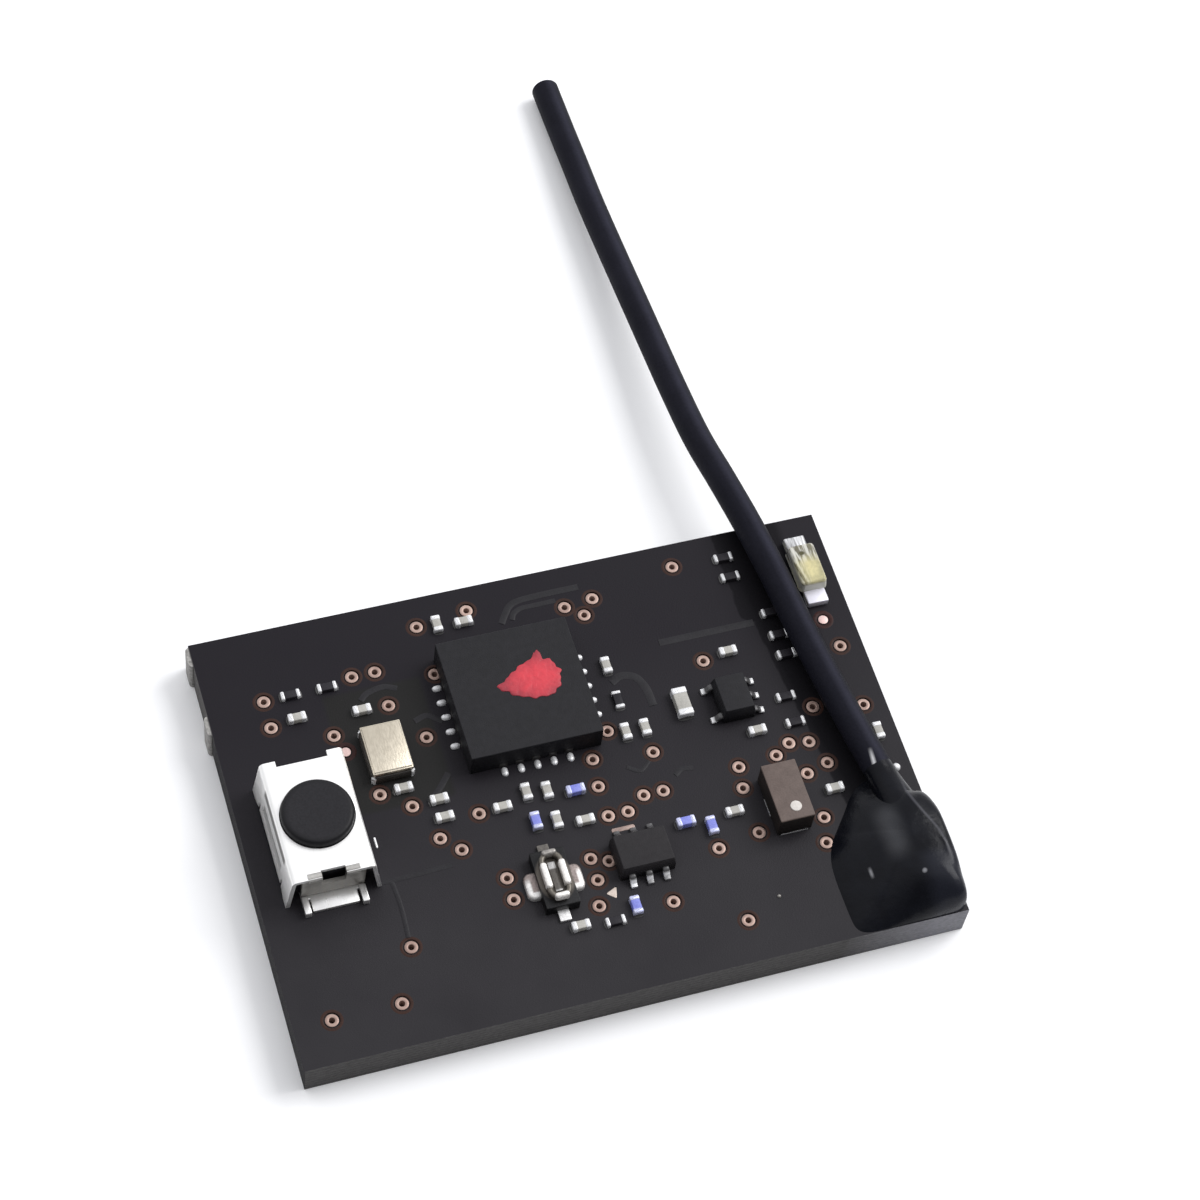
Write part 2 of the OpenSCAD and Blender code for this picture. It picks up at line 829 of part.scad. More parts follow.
// Shell: a raised collar on the base with a rib on each side and end, and a strap down each side
module socket_shell() {
  color("#dadad6")
    place(socket_at) {
      translate([0, 0, socket_base_h]) {
        linear_extrude(socket_h - socket_base_h - socket_rib)
          collar_outline();
        linear_extrude(socket_h - socket_base_h)
          intersection() {
            collar_outline();
            rib_outline();
          }
      }
      for (s = [-1, 1]) {
        linear_extrude(strap_t)
          difference() {
            strap_outline(s, 0);
            strap_outline(s, strap_t);
          }
        linear_extrude(strap_web)
          strap_outline(s, 0);
      }
    }
}

// Collar seen from above: a rounded ring
module collar_outline() {
  difference() {
    slot_outline_upright(socket_l, socket_w);
    slot_outline_upright(socket_l - 2 * socket_wall, socket_w - 2 * socket_wall);
  }
}

// The collar's straight sides and the middles of its ends, which stand higher than its corners
module rib_outline() {
  square([2 * socket_w, socket_l - socket_w], center = true);
  square([socket_w / 2, 2 * socket_l], center = true);
}

// Strap seen from above: half of a rounded slot beside the base, drawn in by a margin
module strap_outline(s, margin) {
  inner = (socket_w + 2 * socket_margin) / 2;
  reach = strap_span / 2 - inner;
  intersection() {
    translate([s * inner, 0])
      slot_outline_upright(strap_l - 2 * margin, 2 * (reach - margin));
    translate([s * (inner + strap_span / 2), 0])
      square([strap_span, 2 * strap_l], center = true);
  }
}

// Signal contacts: a flat terminal at each end, and the spring strip in the collar's slot
module socket_contacts() {
  end = socket_l / 2 + socket_margin;
  color("#d9cdb4")
    place(socket_at) {
      for (s = [-1, 1])
        translate([0, s * (end + (signal_out - 0.2) / 2), 0])
          block(signal_w, signal_out + 0.2, lead_t);
      translate([0, 0, socket_base_h])
        block((socket_w - 2 * socket_wall) * 0.55, socket_l - 2 * socket_wall - socket_w * 0.4, 0.08);
    }
}

module light_base() {
  color("#d8d6c8")
    place(light_at)
      translate([0, 0, light_end_t])
        block(light_end_w, light_l - 2 * light_end_t, light_base_h - light_end_t);
}

// Clear lens with bevelled corners and drawn-in top, moulded over the die
module light_lens() {
  draw = 0.06;
  color("#e6e4c6", 0.8)
    place(light_at)
      translate([0, 0, light_base_h])
        difference() {
          intersection() {
            linear_extrude(light_lens_h)
              lens_outline();
            rotate([90, 0, 0])
              translate([0, 0, -light_l])
                linear_extrude(2 * light_l)
                  polygon([
                    [-light_w / 2, 0], [light_w / 2, 0], [light_w / 2 - draw, light_lens_h],
                    [draw - light_w / 2, light_lens_h]]);
          }
          translate([0, 0, -eps])
            block(light_die, light_die, light_die * 0.5 + eps);
        }
}

module lens_outline() {
  x = light_w / 2;
  y = light_lens_l / 2;
  polygon([
    [-x, light_bevel - y], [light_bevel - x, -y], [x - light_bevel, -y], [x, light_bevel - y],
    [x, y - light_bevel], [x - light_bevel, y], [light_bevel - x, y], [-x, y - light_bevel]]);
}

module light_die_chip() {
  color("#c9b96a")
    place(light_at)
      translate([0, 0, light_base_h])
        block(light_die, light_die, light_die * 0.5);
}

// Terminals wrap the ends of the base
module light_terminals() {
  run = (light_l - light_lens_l) / 2;
  color("#e2e2e6")
    place(light_at)
      for (s = [-1, 1])
        difference() {
          translate([0, s * (light_l - run) / 2, 0])
            block(light_end_w, run, light_base_h + light_end_t);
          translate([0, 0, light_end_t])
            block(light_end_w + past, light_l - 2 * light_end_t, light_base_h - light_end_t);
        }
}

// The ceramic core of a chip part, inside its plated ends
module chip_body(size) {
  translate([0, 0, end_t])
    block(size[0] - 2 * end_t, size[1] - 2 * end_t, size[2] - 2 * end_t);
}

// Both plated ends of a chip part
module chip_ends(size) {
  difference() {
    for (s = [-1, 1])
      translate([s * (size[0] - size[3]) / 2, 0, 0])
        block(size[3], size[1], size[2]);
    chip_body(size);
  }
}

// Solder at both ends of a chip part: a hollow-cheeked wedge from the board up the end
module chip_solder(size) {
  rise = size[2] * solder_rise;
  for (s = [0, 180])
    rotate(s)
      translate([size[0] / 2, size[1] / 2, 0])
        rotate([90, 0, 0])
          linear_extrude(size[1])
            polygon([[0, 0], [solder_out, 0], [solder_out * 0.35, rise * 0.35], [0, rise]]);
}

module capacitor_bodies() {
  color("#c9c6bd")
    for (c = caps_at)
      place(c)
        chip_body(cap_size);
}

module capacitor_ends() {
  color("#f0f0ee")
    for (c = caps_at)
      place(c)
        chip_ends(cap_size);
}

module resistor_bodies() {
  color("#1a1a1d")
    for (c = ress_at)
      place(c)
        chip_body(res_size);
}

module resistor_ends() {
  color("#ededeb")
    for (c = ress_at)
      place(c)
        chip_ends(res_size);
}

module inductor_bodies() {
  color("#4a50b4")
    for (c = inds_at)
      place(c)
        chip_body(ind_size);
}

module inductor_ends() {
  color("#dfe0ee")
    for (c = inds_at)
      place(c)
        chip_ends(ind_size);
}

module large_capacitor_body() {
  color("#cdc9bf")
    place(big_at)
      chip_body(big_size);
}

module large_capacitor_ends() {
  color("#f2f2f0")
    place(big_at)
      chip_ends(big_size);
}

// All solder that shows: chip parts, radio contacts, leads and the bare dots
module solder() {
  color("#e6e6e3") {
    for (c = caps_at)
      place(c)
        chip_solder(cap_size);
    for (c = ress_at)
      place(c)
        chip_solder(res_size);
    for (c = inds_at)
      place(c)
        chip_solder(ind_size);
    place(big_at)
      chip_solder(big_size);
    place(radio_at)
      along_radio_sides()
        contact_solder();
    for (c = solder_dots_at)
      place(c)
        cylinder(d1 = spot_d, d2 = spot_d / 2, h = spot_h);
  }
}

// Solder that wets a radio contact's wall and spreads out from it
module contact_solder() {
  spread = 0.3;
  translate([radio_pin_w / 2, 0, 0])
    rotate([90, 0, -90])
      linear_extrude(radio_pin_w)
        polygon([[0, 0], [spread, 0], [spread * 0.7, radio_pin_h * 0.5], [0, radio_pin_h]]);
}

// Unit vector, and the frame of a ring on the route
function unit(v) = v / norm(v);
function tangent(i) = unit(route[min(i + 1, len(route) - 1)] - route[max(i - 1, 0)]);
function ring(i, r) =
  let (t = tangent(i), across = unit(cross(t, [0, 0, 1])), up = cross(across, t))
    [for (k = [0 : route_sides - 1])
      let (a = 360 * k / route_sides) route[i] + r * (cos(a) * across + sin(a) * up)];

// Sleeved wire: one tube swept along the route
module aerial_sleeve() {
  n = len(route);
  m = route_sides;
  color("#26262b")
    polyhedron(
      points = [for (i = [0 : n - 1]) each ring(i, sleeve_d / 2)],
      faces = concat(
        [[for (k = [0 : m - 1]) k]],
        [for (i = [0 : n - 2], k = [0 : m - 1])
          [i * m + k, (i + 1) * m + k, (i + 1) * m + (k + 1) % m, i * m + (k + 1) % m]],
        [[for (k = [m - 1 : -1 : 0]) (n - 1) * m + k]]));
}

// Turns +Z along the wire where it leaves the glue, starting at the route's first point
module along_wire() {
  d = unit(route[1] - route[0]);
  translate(route[0])
    rotate([0, acos(d[2]), atan2(d[1], d[0])])
      children();
}

module aerial_core() {
  color("#c98f5e")
    along_wire()
      translate([0, 0, -core_l])
        cylinder(d = core_d, h = core_l);
}

// Solder under the bare core, from the board up to it
module core_solder() {
  d = unit(route[1] - route[0]);
  foot = route[0] - core_l * 0.6 * d;
  translate([foot[0], foot[1], board_t])
    cylinder(r1 = 0.5, r2 = 0.22, h = foot[2] - board_t);
}

module aerial_solder() {
  color("#cfcfca")
    difference() {
      core_solder();
      along_wire()
        translate([0, 0, -2 * core_l])
          cylinder(d = core_d, h = 2 * core_l + eps);
    }
}

// Glue: a rounded heap lofted through rings, from a full oval foot that draws in to the top and grows rounder.
// Each direction has its own slope, from steep on the right to low on the left.
function between(ends, t) = ends[0] + (ends[1] - ends[0]) * t;

function glue_oval(c, s, full) = glue_mid + [
  glue_w / 2 * sign(c) * pow(abs(c), 2 / full), glue_d / 2 * sign(s) * pow(abs(s), 2 / full)];

function glue_ring(j) =
  let (a = 90 * j / glue_rings, full = between([2, glue_fullness], cos(a)))
    [for (k = [0 : glue_steps - 1])
      let (b = 360 * k / glue_steps, side = (1 - cos(b)) / 2)
        let (p = between([glue_top, glue_oval(cos(b), sin(b), full)], pow(cos(a), between(glue_draw, side))))
          [p[0], p[1], board_t + glue_h * pow(sin(a), between(glue_rise, side))]];

module glue_dome() {
  m = glue_steps;
  n = glue_rings;
  polyhedron(
    points = concat(
      [for (j = [0 : n - 1]) each glue_ring(j)],
      [[glue_top[0], glue_top[1], board_t + glue_h]]),
    faces = concat(
      [[for (k = [0 : m - 1]) k]],
      [for (j = [0 : n - 2], k = [0 : m - 1])
        [j * m + (k + 1) % m, j * m + k, (j + 1) * m + k]],
      [for (j = [0 : n - 2], k = [0 : m - 1])
        [j * m + (k + 1) % m, (j + 1) * m + k, (j + 1) * m + (k + 1) % m]],
      [for (k = [0 : m - 1]) [(n - 1) * m + (k + 1) % m, (n - 1) * m + k, n * m]]));
}

module glue() {
  color("#141416")
    difference() {
      union() {
        glue_dome();
        intersection() {
          along_wire()
            cylinder(r1 = neck_r, r2 = sleeve_d / 2 + 0.06, h = neck_l);
          translate([-board_w / 2, -board_d / 2, board_t])
            cube([board_w - glue_edge, board_d, glue_h]);
        }
      }
      along_wire()
        cylinder(d = sleeve_d + 2 * fit_gap, h = 4 * neck_l);
      along_wire()
        translate([0, 0, -core_l])
          cylinder(d = core_d, h = core_l + eps);
      core_solder();
    }
}

circuit_board();
vias();
copper_marks();
solder_lands();
switch_base();
switch_cover();
switch_button();
switch_dome();
switch_terminals();
radio_body();
radio_contacts();
paint_dab();
crystal_base();
crystal_lid();
crystal_terminals();
regulator_body();
regulator_leads();
aerial_switch_body();
aerial_switch_leads();
filter_body();
filter_lands();
filter_dot();
socket_base();
socket_shell();
socket_contacts();
light_base();
light_lens();
light_die_chip();
light_terminals();
capacitor_bodies();
capacitor_ends();
resistor_bodies();
resistor_ends();
inductor_bodies();
inductor_ends();
large_capacitor_body();
large_capacitor_ends();
solder();
aerial_sleeve();
aerial_core();
aerial_solder();
glue();
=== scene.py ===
"""Radio receiver module: a black circuit board with surface-mounted parts, a push switch, and a sleeved wire
aerial that is glued to one corner. The shapes below are in millimetres, in the frame of the solids."""
import bpy
import numpy as np
from mathutils import Matrix, Vector
from mathutils.geometry import delaunay_2d_cdt


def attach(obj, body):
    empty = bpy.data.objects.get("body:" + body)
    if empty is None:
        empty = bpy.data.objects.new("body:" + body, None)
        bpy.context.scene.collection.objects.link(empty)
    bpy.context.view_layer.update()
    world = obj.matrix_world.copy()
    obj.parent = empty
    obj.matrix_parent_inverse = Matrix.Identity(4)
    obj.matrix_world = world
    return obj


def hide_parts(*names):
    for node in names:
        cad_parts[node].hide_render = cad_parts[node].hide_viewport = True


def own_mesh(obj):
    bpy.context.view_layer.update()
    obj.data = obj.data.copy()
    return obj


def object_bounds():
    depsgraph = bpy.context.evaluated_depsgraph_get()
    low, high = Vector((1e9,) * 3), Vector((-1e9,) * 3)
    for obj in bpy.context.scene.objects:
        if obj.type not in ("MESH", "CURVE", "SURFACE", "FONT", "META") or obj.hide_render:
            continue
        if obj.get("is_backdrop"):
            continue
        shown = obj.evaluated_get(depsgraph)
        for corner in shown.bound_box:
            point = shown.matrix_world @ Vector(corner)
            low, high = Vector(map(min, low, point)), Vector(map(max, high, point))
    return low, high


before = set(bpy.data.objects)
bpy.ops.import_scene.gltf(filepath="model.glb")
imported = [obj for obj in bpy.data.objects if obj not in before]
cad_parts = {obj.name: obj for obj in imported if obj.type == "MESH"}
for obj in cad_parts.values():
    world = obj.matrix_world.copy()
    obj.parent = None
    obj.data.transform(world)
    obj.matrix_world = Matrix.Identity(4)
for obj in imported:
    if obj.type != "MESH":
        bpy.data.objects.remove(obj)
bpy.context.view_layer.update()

# Camera: a long lens held above the front-left corner of the board and turned a little on its axis,
# as the photograph was taken. The picture is square.
look = Vector((0.226598, 0.484971, -0.844664))
up = Vector((0.203567, 0.824487, 0.527997))
stand = Vector((-0.0190118, -0.0404899, 0.0814649))
camera = bpy.data.objects.new("camera", bpy.data.cameras.new("camera"))
camera.data.lens = 94.63
camera.data.clip_start = 0.002
axes = Matrix((look.cross(up), up, -look)).transposed()
camera.matrix_world = Matrix.Translation(stand) @ axes.to_4x4()
bpy.context.scene.collection.objects.link(camera)
bpy.context.scene.camera = camera


# Table: a plain white sheet under the module, bright enough to lose its grain in the light.
# Every finish below is built with the small class that this first one needs.
class Shade:
    """A socket in a material's node tree. Arithmetic on it adds Math nodes, and node() adds any other."""

    def __init__(self, tree, socket):
        self.tree = tree
        self.socket = socket

    def node(self, kind, settings, *values, out=0, **named):
        """A new node with its settings, then the values or links of its sockets, by order or by name."""
        made = self.tree.nodes.new("ShaderNode" + kind)
        for name, value in settings.items():
            setattr(made, name, value)
        for key, value in [*enumerate(values), *named.items()]:
            socket = made.inputs[key if isinstance(key, int) else key.replace("_", " ")]
            if isinstance(value, Shade):
                self.tree.links.new(value.socket, socket)
            elif value is not None:
                socket.default_value = value
        return Shade(self.tree, made.outputs[out])

    def maths(self, operation, *values):
        """A Math node on this value and the others."""
        return self.node("Math", {"operation": operation}, self, *values)

    def __add__(self, other):
        return self.maths("ADD", other)

    def __sub__(self, other):
        return self.maths("SUBTRACT", other)

    def __rsub__(self, other):
        return self.node("Math", {"operation": "SUBTRACT"}, other, self)

    def __mul__(self, other):
        return self.maths("MULTIPLY", other)

    def __abs__(self):
        return self.maths("ABSOLUTE")

    __radd__ = __add__
    __rmul__ = __mul__

    def mix(self, first, second):
        """The first colour where this value is 0, and the second where it is 1."""
        ends = [c if isinstance(c, Shade) else (*c, 1) for c in (first, second)]
        return self.node("Mix", {"data_type": "RGBA"}, self, *[None] * 5, *ends, out=2)

    def ramp(self, low, high, first=0.0, last=1.0, smooth=False):
        """The first value below low, the last above high, and a straight or a smooth run between them."""
        kind = "SMOOTHSTEP" if smooth else "LINEAR"
        return self.node("MapRange", {"interpolation_type": kind}, self, low, high, first, last)

    def noise(self, size):
        """A cloud noise, spread over 0 to 1, with lumps of the given size in millimetres."""
        return self.node("TexNoise", {}, Vector=self, Scale=1000 / size, Detail=3.0).ramp(0.3, 0.7)

    def xyz(self):
        """The x, y and z of a place, in millimetres."""
        return [self.node("SeparateXYZ", {}, self, out=i) * 1000 for i in range(3)]


def material(name, **constants):
    """A material with one Principled shader that holds the constants, and the object coordinates in it."""
    made = bpy.data.materials.new(name)
    made.use_nodes = True
    shader = made.node_tree.nodes["Principled BSDF"]
    for key, value in constants.items():
        shader.inputs[key.replace("_", " ")].default_value = value
    return made, Shade(made.node_tree, made.node_tree.nodes.new("ShaderNodeTexCoord").outputs["Object"])


def feed(place, **inputs):
    """Links values to the sockets of a material's shader."""
    shader = place.tree.nodes["Principled BSDF"]
    for key, value in inputs.items():
        place.tree.links.new(value.socket, shader.inputs[key.replace("_", " ")])


def bump(height, depth):
    """The surface normal over bumps of the given depth in millimetres."""
    return height.node("Bump", {}, Strength=1.0, Distance=depth / 1000, Height=height)


def grained(name, dark, light, rough, grain, relief, stretch=(1, 1, 1), **constants):
    """A finish whose colour runs from dark to light over broad lumps and fine grain, whose roughness runs
    over the pair with the grain, and whose bumps are relief high. Sizes are in millimetres."""
    made, place = material(name, **constants)
    along = place.node("Mapping", {}, Vector=place, Scale=stretch)
    fine = along.noise(grain)
    tone = fine * 0.5 + along.noise(grain * 6) * 0.5
    feed(place, Base_Color=tone.mix(dark, light), Roughness=fine * (rough[1] - rough[0]) + rough[0],
         Normal=bump(fine, relief))
    return made


def link(mesh, name, finish):
    """An object for the mesh, with its finish, in the scene."""
    mesh.materials.append(finish)
    made = bpy.data.objects.new(name, mesh)
    bpy.context.scene.collection.objects.link(made)
    return made


sheet_white = grained("sheet_white", (0.93, 0.93, 0.94), (0.95, 0.95, 0.955), (0.75, 0.85), 0.6, 0.002,
                      Emission_Color=(1, 1, 1, 1), Emission_Strength=0.08)
reach, gap = 0.6, 2e-5
x, y = np.meshgrid([-reach, reach], [-reach, reach])
sheet = bpy.data.meshes.new("table")
sheet.from_pydata(np.stack([x, y, 0 * x - gap], -1).reshape(-1, 3).tolist(), [], [(0, 1, 3, 2)])
link(sheet, "table", sheet_white)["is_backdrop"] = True

# Studio light: a wide soft box high on the right, which throws the aerial's soft shadow to the left.
# The room round it is bright overhead and behind the module, and dim in front.
lamp = bpy.data.objects.new("soft_box", bpy.data.lights.new("soft_box", "AREA"))
lamp.data.size = 0.25
lamp.data.energy = 1.25
lamp.location = (0.30, 0.06, 0.32)
lamp.rotation_euler = (Vector((0, 0.003, 0)) - lamp.location).to_track_quat("-Z", "Y").to_euler()
bpy.context.scene.collection.objects.link(lamp)
world = bpy.data.worlds.new("room")
world.use_nodes = True
background = world.node_tree.nodes["Background"]
background.inputs["Color"].default_value = (0.96, 0.97, 1.0, 1)
facing = Shade(world.node_tree, world.node_tree.nodes.new("ShaderNodeTexCoord").outputs["Generated"])
facing = facing.node("VectorMath", {"operation": "DOT_PRODUCT"}, facing, (0.25, 0.75, 0.6), out=1)
glow = facing.ramp(-0.35, 0.65, 0.2, 1.1, smooth=True)
world.node_tree.links.new(glow.socket, background.inputs["Strength"])
bpy.context.scene.world = world
bpy.context.scene.view_settings.view_transform = "Standard"

# Circuit board: glass laminate with copper under a black satin mask. The mask is paler towards the front,
# the field beside the aerial is dark, and the broken-out edges show the laminate's pale layers.
# Places in a finish are in millimetres from the middle of the board.
mask_black, place = material("mask_black", Specular_IOR_Level=0.16)
x, y, z = place.xyz()
wander = place.noise(0.5)
border = 6.42 + (3.95 - y).ramp(0.0, 0.22, 0.0, 0.34) + (3.7 - y).maths("MAXIMUM", 0.0) * 0.1
border = border + wander * 0.07
bare = (x - border).ramp(0.0, 0.06) * (8.75 - x).ramp(0.0, 0.25) * (y + 3.2).ramp(0.0, 0.3)
frontward = (0 - y).ramp(-4.0, 4.0)
field = frontward.mix((0.0084, 0.0066, 0.0104), (0.0238, 0.0221, 0.0252))
field = (place.noise(2.2) * 0.4).mix(field, (0.0108, 0.0094, 0.0124))
olive = (x + 6.5).ramp(0.0, 0.15) * (-3.4 - x).ramp(0.0, 0.15)
olive = olive * (y - 0.2).ramp(0.0, 0.15) * (4.4 - y).ramp(0.0, 0.15)
field = (olive * 0.7).mix(field, (0.010, 0.010, 0.008))
field = (bare * 0.9).mix(field, (0.0050, 0.0044, 0.0062))
mask_x, mask_y = 9.785, 6.985
side = (abs(x) - mask_x).maths("MAXIMUM", abs(y) - mask_y).ramp(0.0, 0.01)
ply = (z * 40).maths("SINE") * 0.5 + 0.5
raw = (0 - x).ramp(mask_x, mask_x + 0.005)
glass = place.node("Mapping", {}, Vector=place, Scale=(1, 1, 5)).noise(0.12)
edge = (glass * 0.7 + ply * 0.3).mix((0.035, 0.033, 0.034), (0.085, 0.082, 0.08))
torn = (y - 3.5).ramp(0.0, 0.7).mix((0.012, 0.011, 0.013), (0.075, 0.072, 0.07))
torn = (0 - x).ramp(9.8, 9.83).mix(torn, glass.mix((0.16, 0.155, 0.15), (0.42, 0.41, 0.39)))
edge = raw.mix(edge, torn)
# Painted light: the front face is painted paler and bluer towards its right end, where the light catches it.
lip = (0 - y).ramp(mask_y, mask_y + 0.005) * x.ramp(6.0, 9.0, 0.0, 0.8)
edge = lip.mix(edge, glass.mix((0.18, 0.18, 0.20), (0.32, 0.32, 0.35)))
grain = place.noise(0.05)
feed(place, Base_Color=side.mix(field, edge), Metallic=bare * 0.4 * (1 - side),
     Roughness=0.42 + 0.1 * grain + side * 0.25 + bare * 0.1,
     Normal=bump(grain * 0.5 + side * glass, 0.004))


def dress(name, finish, edge=0.0):
    """Gives a CAD node its finish, and rounds its corners to the given edge in millimetres."""
    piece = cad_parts[name]
    piece.data.materials.clear()
    piece.data.materials.append(finish)
    if edge:
        piece.modifiers.new("joined", "WELD").merge_threshold = 1e-7
        rounding = piece.modifiers.new("rounding", "BEVEL")
        rounding.width = edge / 1000
        rounding.segments = 3
        rounding.angle_limit = np.radians(35)
        piece.modifiers.new("flats", "WEIGHTED_NORMAL")


dress("circuit_board", mask_black)


# Traces: copper lines under the mask that lift it into low ridges. Each is a rounded ribbon
# along its line, a hundredth or two of a millimetre high.
def solid(name, loops, finish, closed=False, sharp=45, body="module"):
    """Joins loops of points into a mesh, quad by quad, from loop to loop and along each loop. loops is an
    array of parts, rows, columns and x, y, z in millimetres. The first and last loops of a part get a flat
    face, unless its rows close on themselves."""
    parts, rows, columns = loops.shape[:3]
    index = np.arange(parts * rows * columns).reshape(parts, rows, columns)
    after = np.roll(index, -1, 1) if closed else index[:, 1:]
    here = index if closed else index[:, :-1]
    quads = np.stack([here, np.roll(here, -1, 2), np.roll(after, -1, 2), after], -1).reshape(-1, 4).tolist()
    caps = [] if closed else index[:, 0, ::-1].tolist() + index[:, -1].tolist()
    mesh = bpy.data.meshes.new(name)
    mesh.from_pydata((loops.reshape(-1, 3) / 1000).tolist(), [], quads + caps)
    mesh.shade_smooth()
    mesh.set_sharp_from_angle(angle=np.radians(sharp))
    piece = link(mesh, name, finish)
    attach(piece, body)
    return piece


def smooth_line(points, steps, closed=False):
    """A line through the points: between two of them it is the cubic that leaves each one along the chord of
    its neighbours (Catmull-Rom), in the given number of steps. A closed line runs back to its start."""
    p = np.asarray(points, float)
    before, after = (p[-1:], p[:2]) if closed else (2 * p[:1] - p[1:2], 2 * p[-1:] - p[-2:-1])
    p = np.concatenate([before, p, after])
    t = (np.arange(steps) / steps)[None, :, None]
    a, b, c, d = [p[i:len(p) - 3 + i, None] for i in range(4)]
    run = b + 0.5 * t * (c - a + t * (2 * a - 5 * b + 4 * c - d + t * (3 * (b - c) + d - a)))
    run = run.reshape(-1, p.shape[1])
    return run if closed else np.concatenate([run, p[-2:-1]])


def carried(line, profile):
    """A closed profile carried along a line of x, y, z: at each point of the line, its first number goes to
    the left of the way forward, level, and its second upward, square to the way and to the left."""
    way = np.gradient(line, axis=0)
    way /= np.linalg.norm(way, axis=1, keepdims=True)
    left = np.stack([-way[:, 1], way[:, 0], 0 * way[:, 0]], -1)
    left /= np.linalg.norm(left, axis=1, keepdims=True)
    rise = np.cross(way, left)
    return line[:, None] + profile[None, :, :1] * left[:, None] + profile[None, :, 1:] * rise[:, None]


board_top = 1.2
ridges = [
    ([(-0.6, 5.5), (-0.4, 5.8), (-0.17, 6.06), (0.2, 6.17), (1.1, 6.2), (2.0, 6.2)], 0.18),
    ([(-0.25, 5.55), (-0.15, 5.75), (0.1, 5.88), (0.5, 5.89), (1.2, 5.9)], 0.14),
    ([(2.0, 2.75), (2.35, 2.9), (2.75, 2.75), (2.95, 2.3), (2.98, 1.7)], 0.22),
    ([(3.8, 3.72), (4.4, 3.72), (5.6, 3.72), (6.8, 3.72)], 0.2),
    ([(-4.0, 2.9), (-3.6, 3.0), (-3.2, 2.7)], 0.16),
    ([(-4.2, 4.1), (-4.6, 4.25), (-5.1, 4.15), (-5.35, 3.95)], 0.16),
    ([(-6.4, -1.95), (-5.6, -1.95), (-4.2, -1.9)], 0.14),
    ([(-6.0, -2.0), (-5.95, -2.8), (-6.0, -3.8)], 0.12),
    ([(-4.3, 0.2), (-3.9, 0.55), (-3.5, 1.0)], 0.16),
    ([(2.9, -0.7), (3.15, -0.55), (3.5, -0.6)], 0.14),
    ([(1.6, -0.1), (1.95, -0.3), (2.3, -0.05)], 0.12),
]
lifted_mask = grained("lifted_mask", (0.014, 0.013, 0.0155), (0.022, 0.021, 0.024), (0.4, 0.52), 0.05, 0.002,
                      Specular_IOR_Level=0.18)
turn = np.radians(np.linspace(-15, 195, 8))
lift = 0.015
for number, (points, width) in enumerate(ridges):
    line = smooth_line([(*p, board_top) for p in points], 8)
    ribbon = np.stack([np.cos(turn) * width * 0.6, np.sin(turn) * lift], -1)
    solid("trace_%d" % number, carried(line, ribbon)[None], lifted_mask)


# Vias: drilled holes plated with copper, with a flat ring at both ends. The mask stops short of the ring
# in a low rounded collar that the copper below stains brown.
def circle(radius, count=32):
    """A round outline: its points, and the way outward at each."""
    turn = np.linspace(0, 2 * np.pi, count, endpoint=False)
    outward = np.stack([np.cos(turn), np.sin(turn)], -1)
    return radius * outward, outward


def raised(outline, profile):
    """Carries a profile round an outline: each row of it is how far in from the outline and how high."""
    points, outward = outline
    inset, height = np.asarray(profile, float).T[:, :, None]
    flat = points[None] - outward[None] * inset[..., None]
    return np.concatenate([flat, np.broadcast_to(height, flat.shape[:2])[..., None]], -1)


def copies(loops, cells, base=board_top):
    """The loops at every cell of the layout: x and y in tenths of a millimetre from the middle of the board,
    then the turn in degrees where there is one."""
    cells = np.array([(*c, 0)[:3] for c in cells], float)
    turn = np.radians(cells[:, 2])[:, None, None]
    x, y, z = np.moveaxis(loops, -1, 0)[:, None]
    return np.stack([x * np.cos(turn) - y * np.sin(turn) + cells[:, 0, None, None] / 10,
                     x * np.sin(turn) + y * np.cos(turn) + cells[:, 1, None, None] / 10,
                     z + base + 0 * turn], -1)


copper = grained("copper", (0.28, 0.185, 0.155), (0.50, 0.365, 0.31), (0.4, 0.6), 0.35, 0.002, Metallic=0.5)
collar = grained("stained_mask", (0.024, 0.011, 0.008), (0.048, 0.021, 0.015), (0.4, 0.55), 0.05, 0.002,
                 Specular_IOR_Level=0.16)
via_cells = [
    (-81, 46), (-81, 37), (-64, 30), (-54, 48), (-47, 48), (-46, 36), (-38, 23), (-56, 8), (-48, 2),
    (-43, -10), (-38, -15), (-60, -41), (-87, -57), (-67, -57),
    (-31, 60), (-15, 62), (-30, 43), (-30, -5), (14, 56), (23, 57), (19, 52), (14, 12), (7, 4), (6, -5),
    (-28, -27), (-28, -34), (-3, -27), (-3, -34), (-5, -42), (2, -29), (6, -15), (12, -15), (18, -11),
    (24, -11), (25, 2), (16, -46), (35, -57), (34, -33),
    (50, 62), (49, 28), (48, -9), (47, -16), (47, -31), (60, -8), (65, -5), (71, -6), (67, -16),
    (74, -14), (67, -31), (65, -39), (76, 5), (91, 23), (91, 2)]
ring = [(0, 1.16), (0, 1.195), (0.012, 1.203), (0.08, 1.203), (0.1, 1.195), (0.106, 1.17), (0.106, 0.03),
        (0.1, 0.005), (0.08, 0.0), (0.012, 0.0), (0, 0.008), (0, 0.04), (0.06, 0.04), (0.06, 1.16)]
rings = copies(raised(circle(0.193, 24), ring), via_cells, 0)
rings = solid("via_rings", rings, copper, closed=True)
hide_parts("vias")
lip = [(0, 1.199), (0.04, 1.203), (0.085, 1.206), (0.098, 1.2), (0.1, 1.165), (0.08, 1.165)]
solid("via_collars", copies(raised(circle(0.335, 24), lip), via_cells, 0), collar, closed=True)


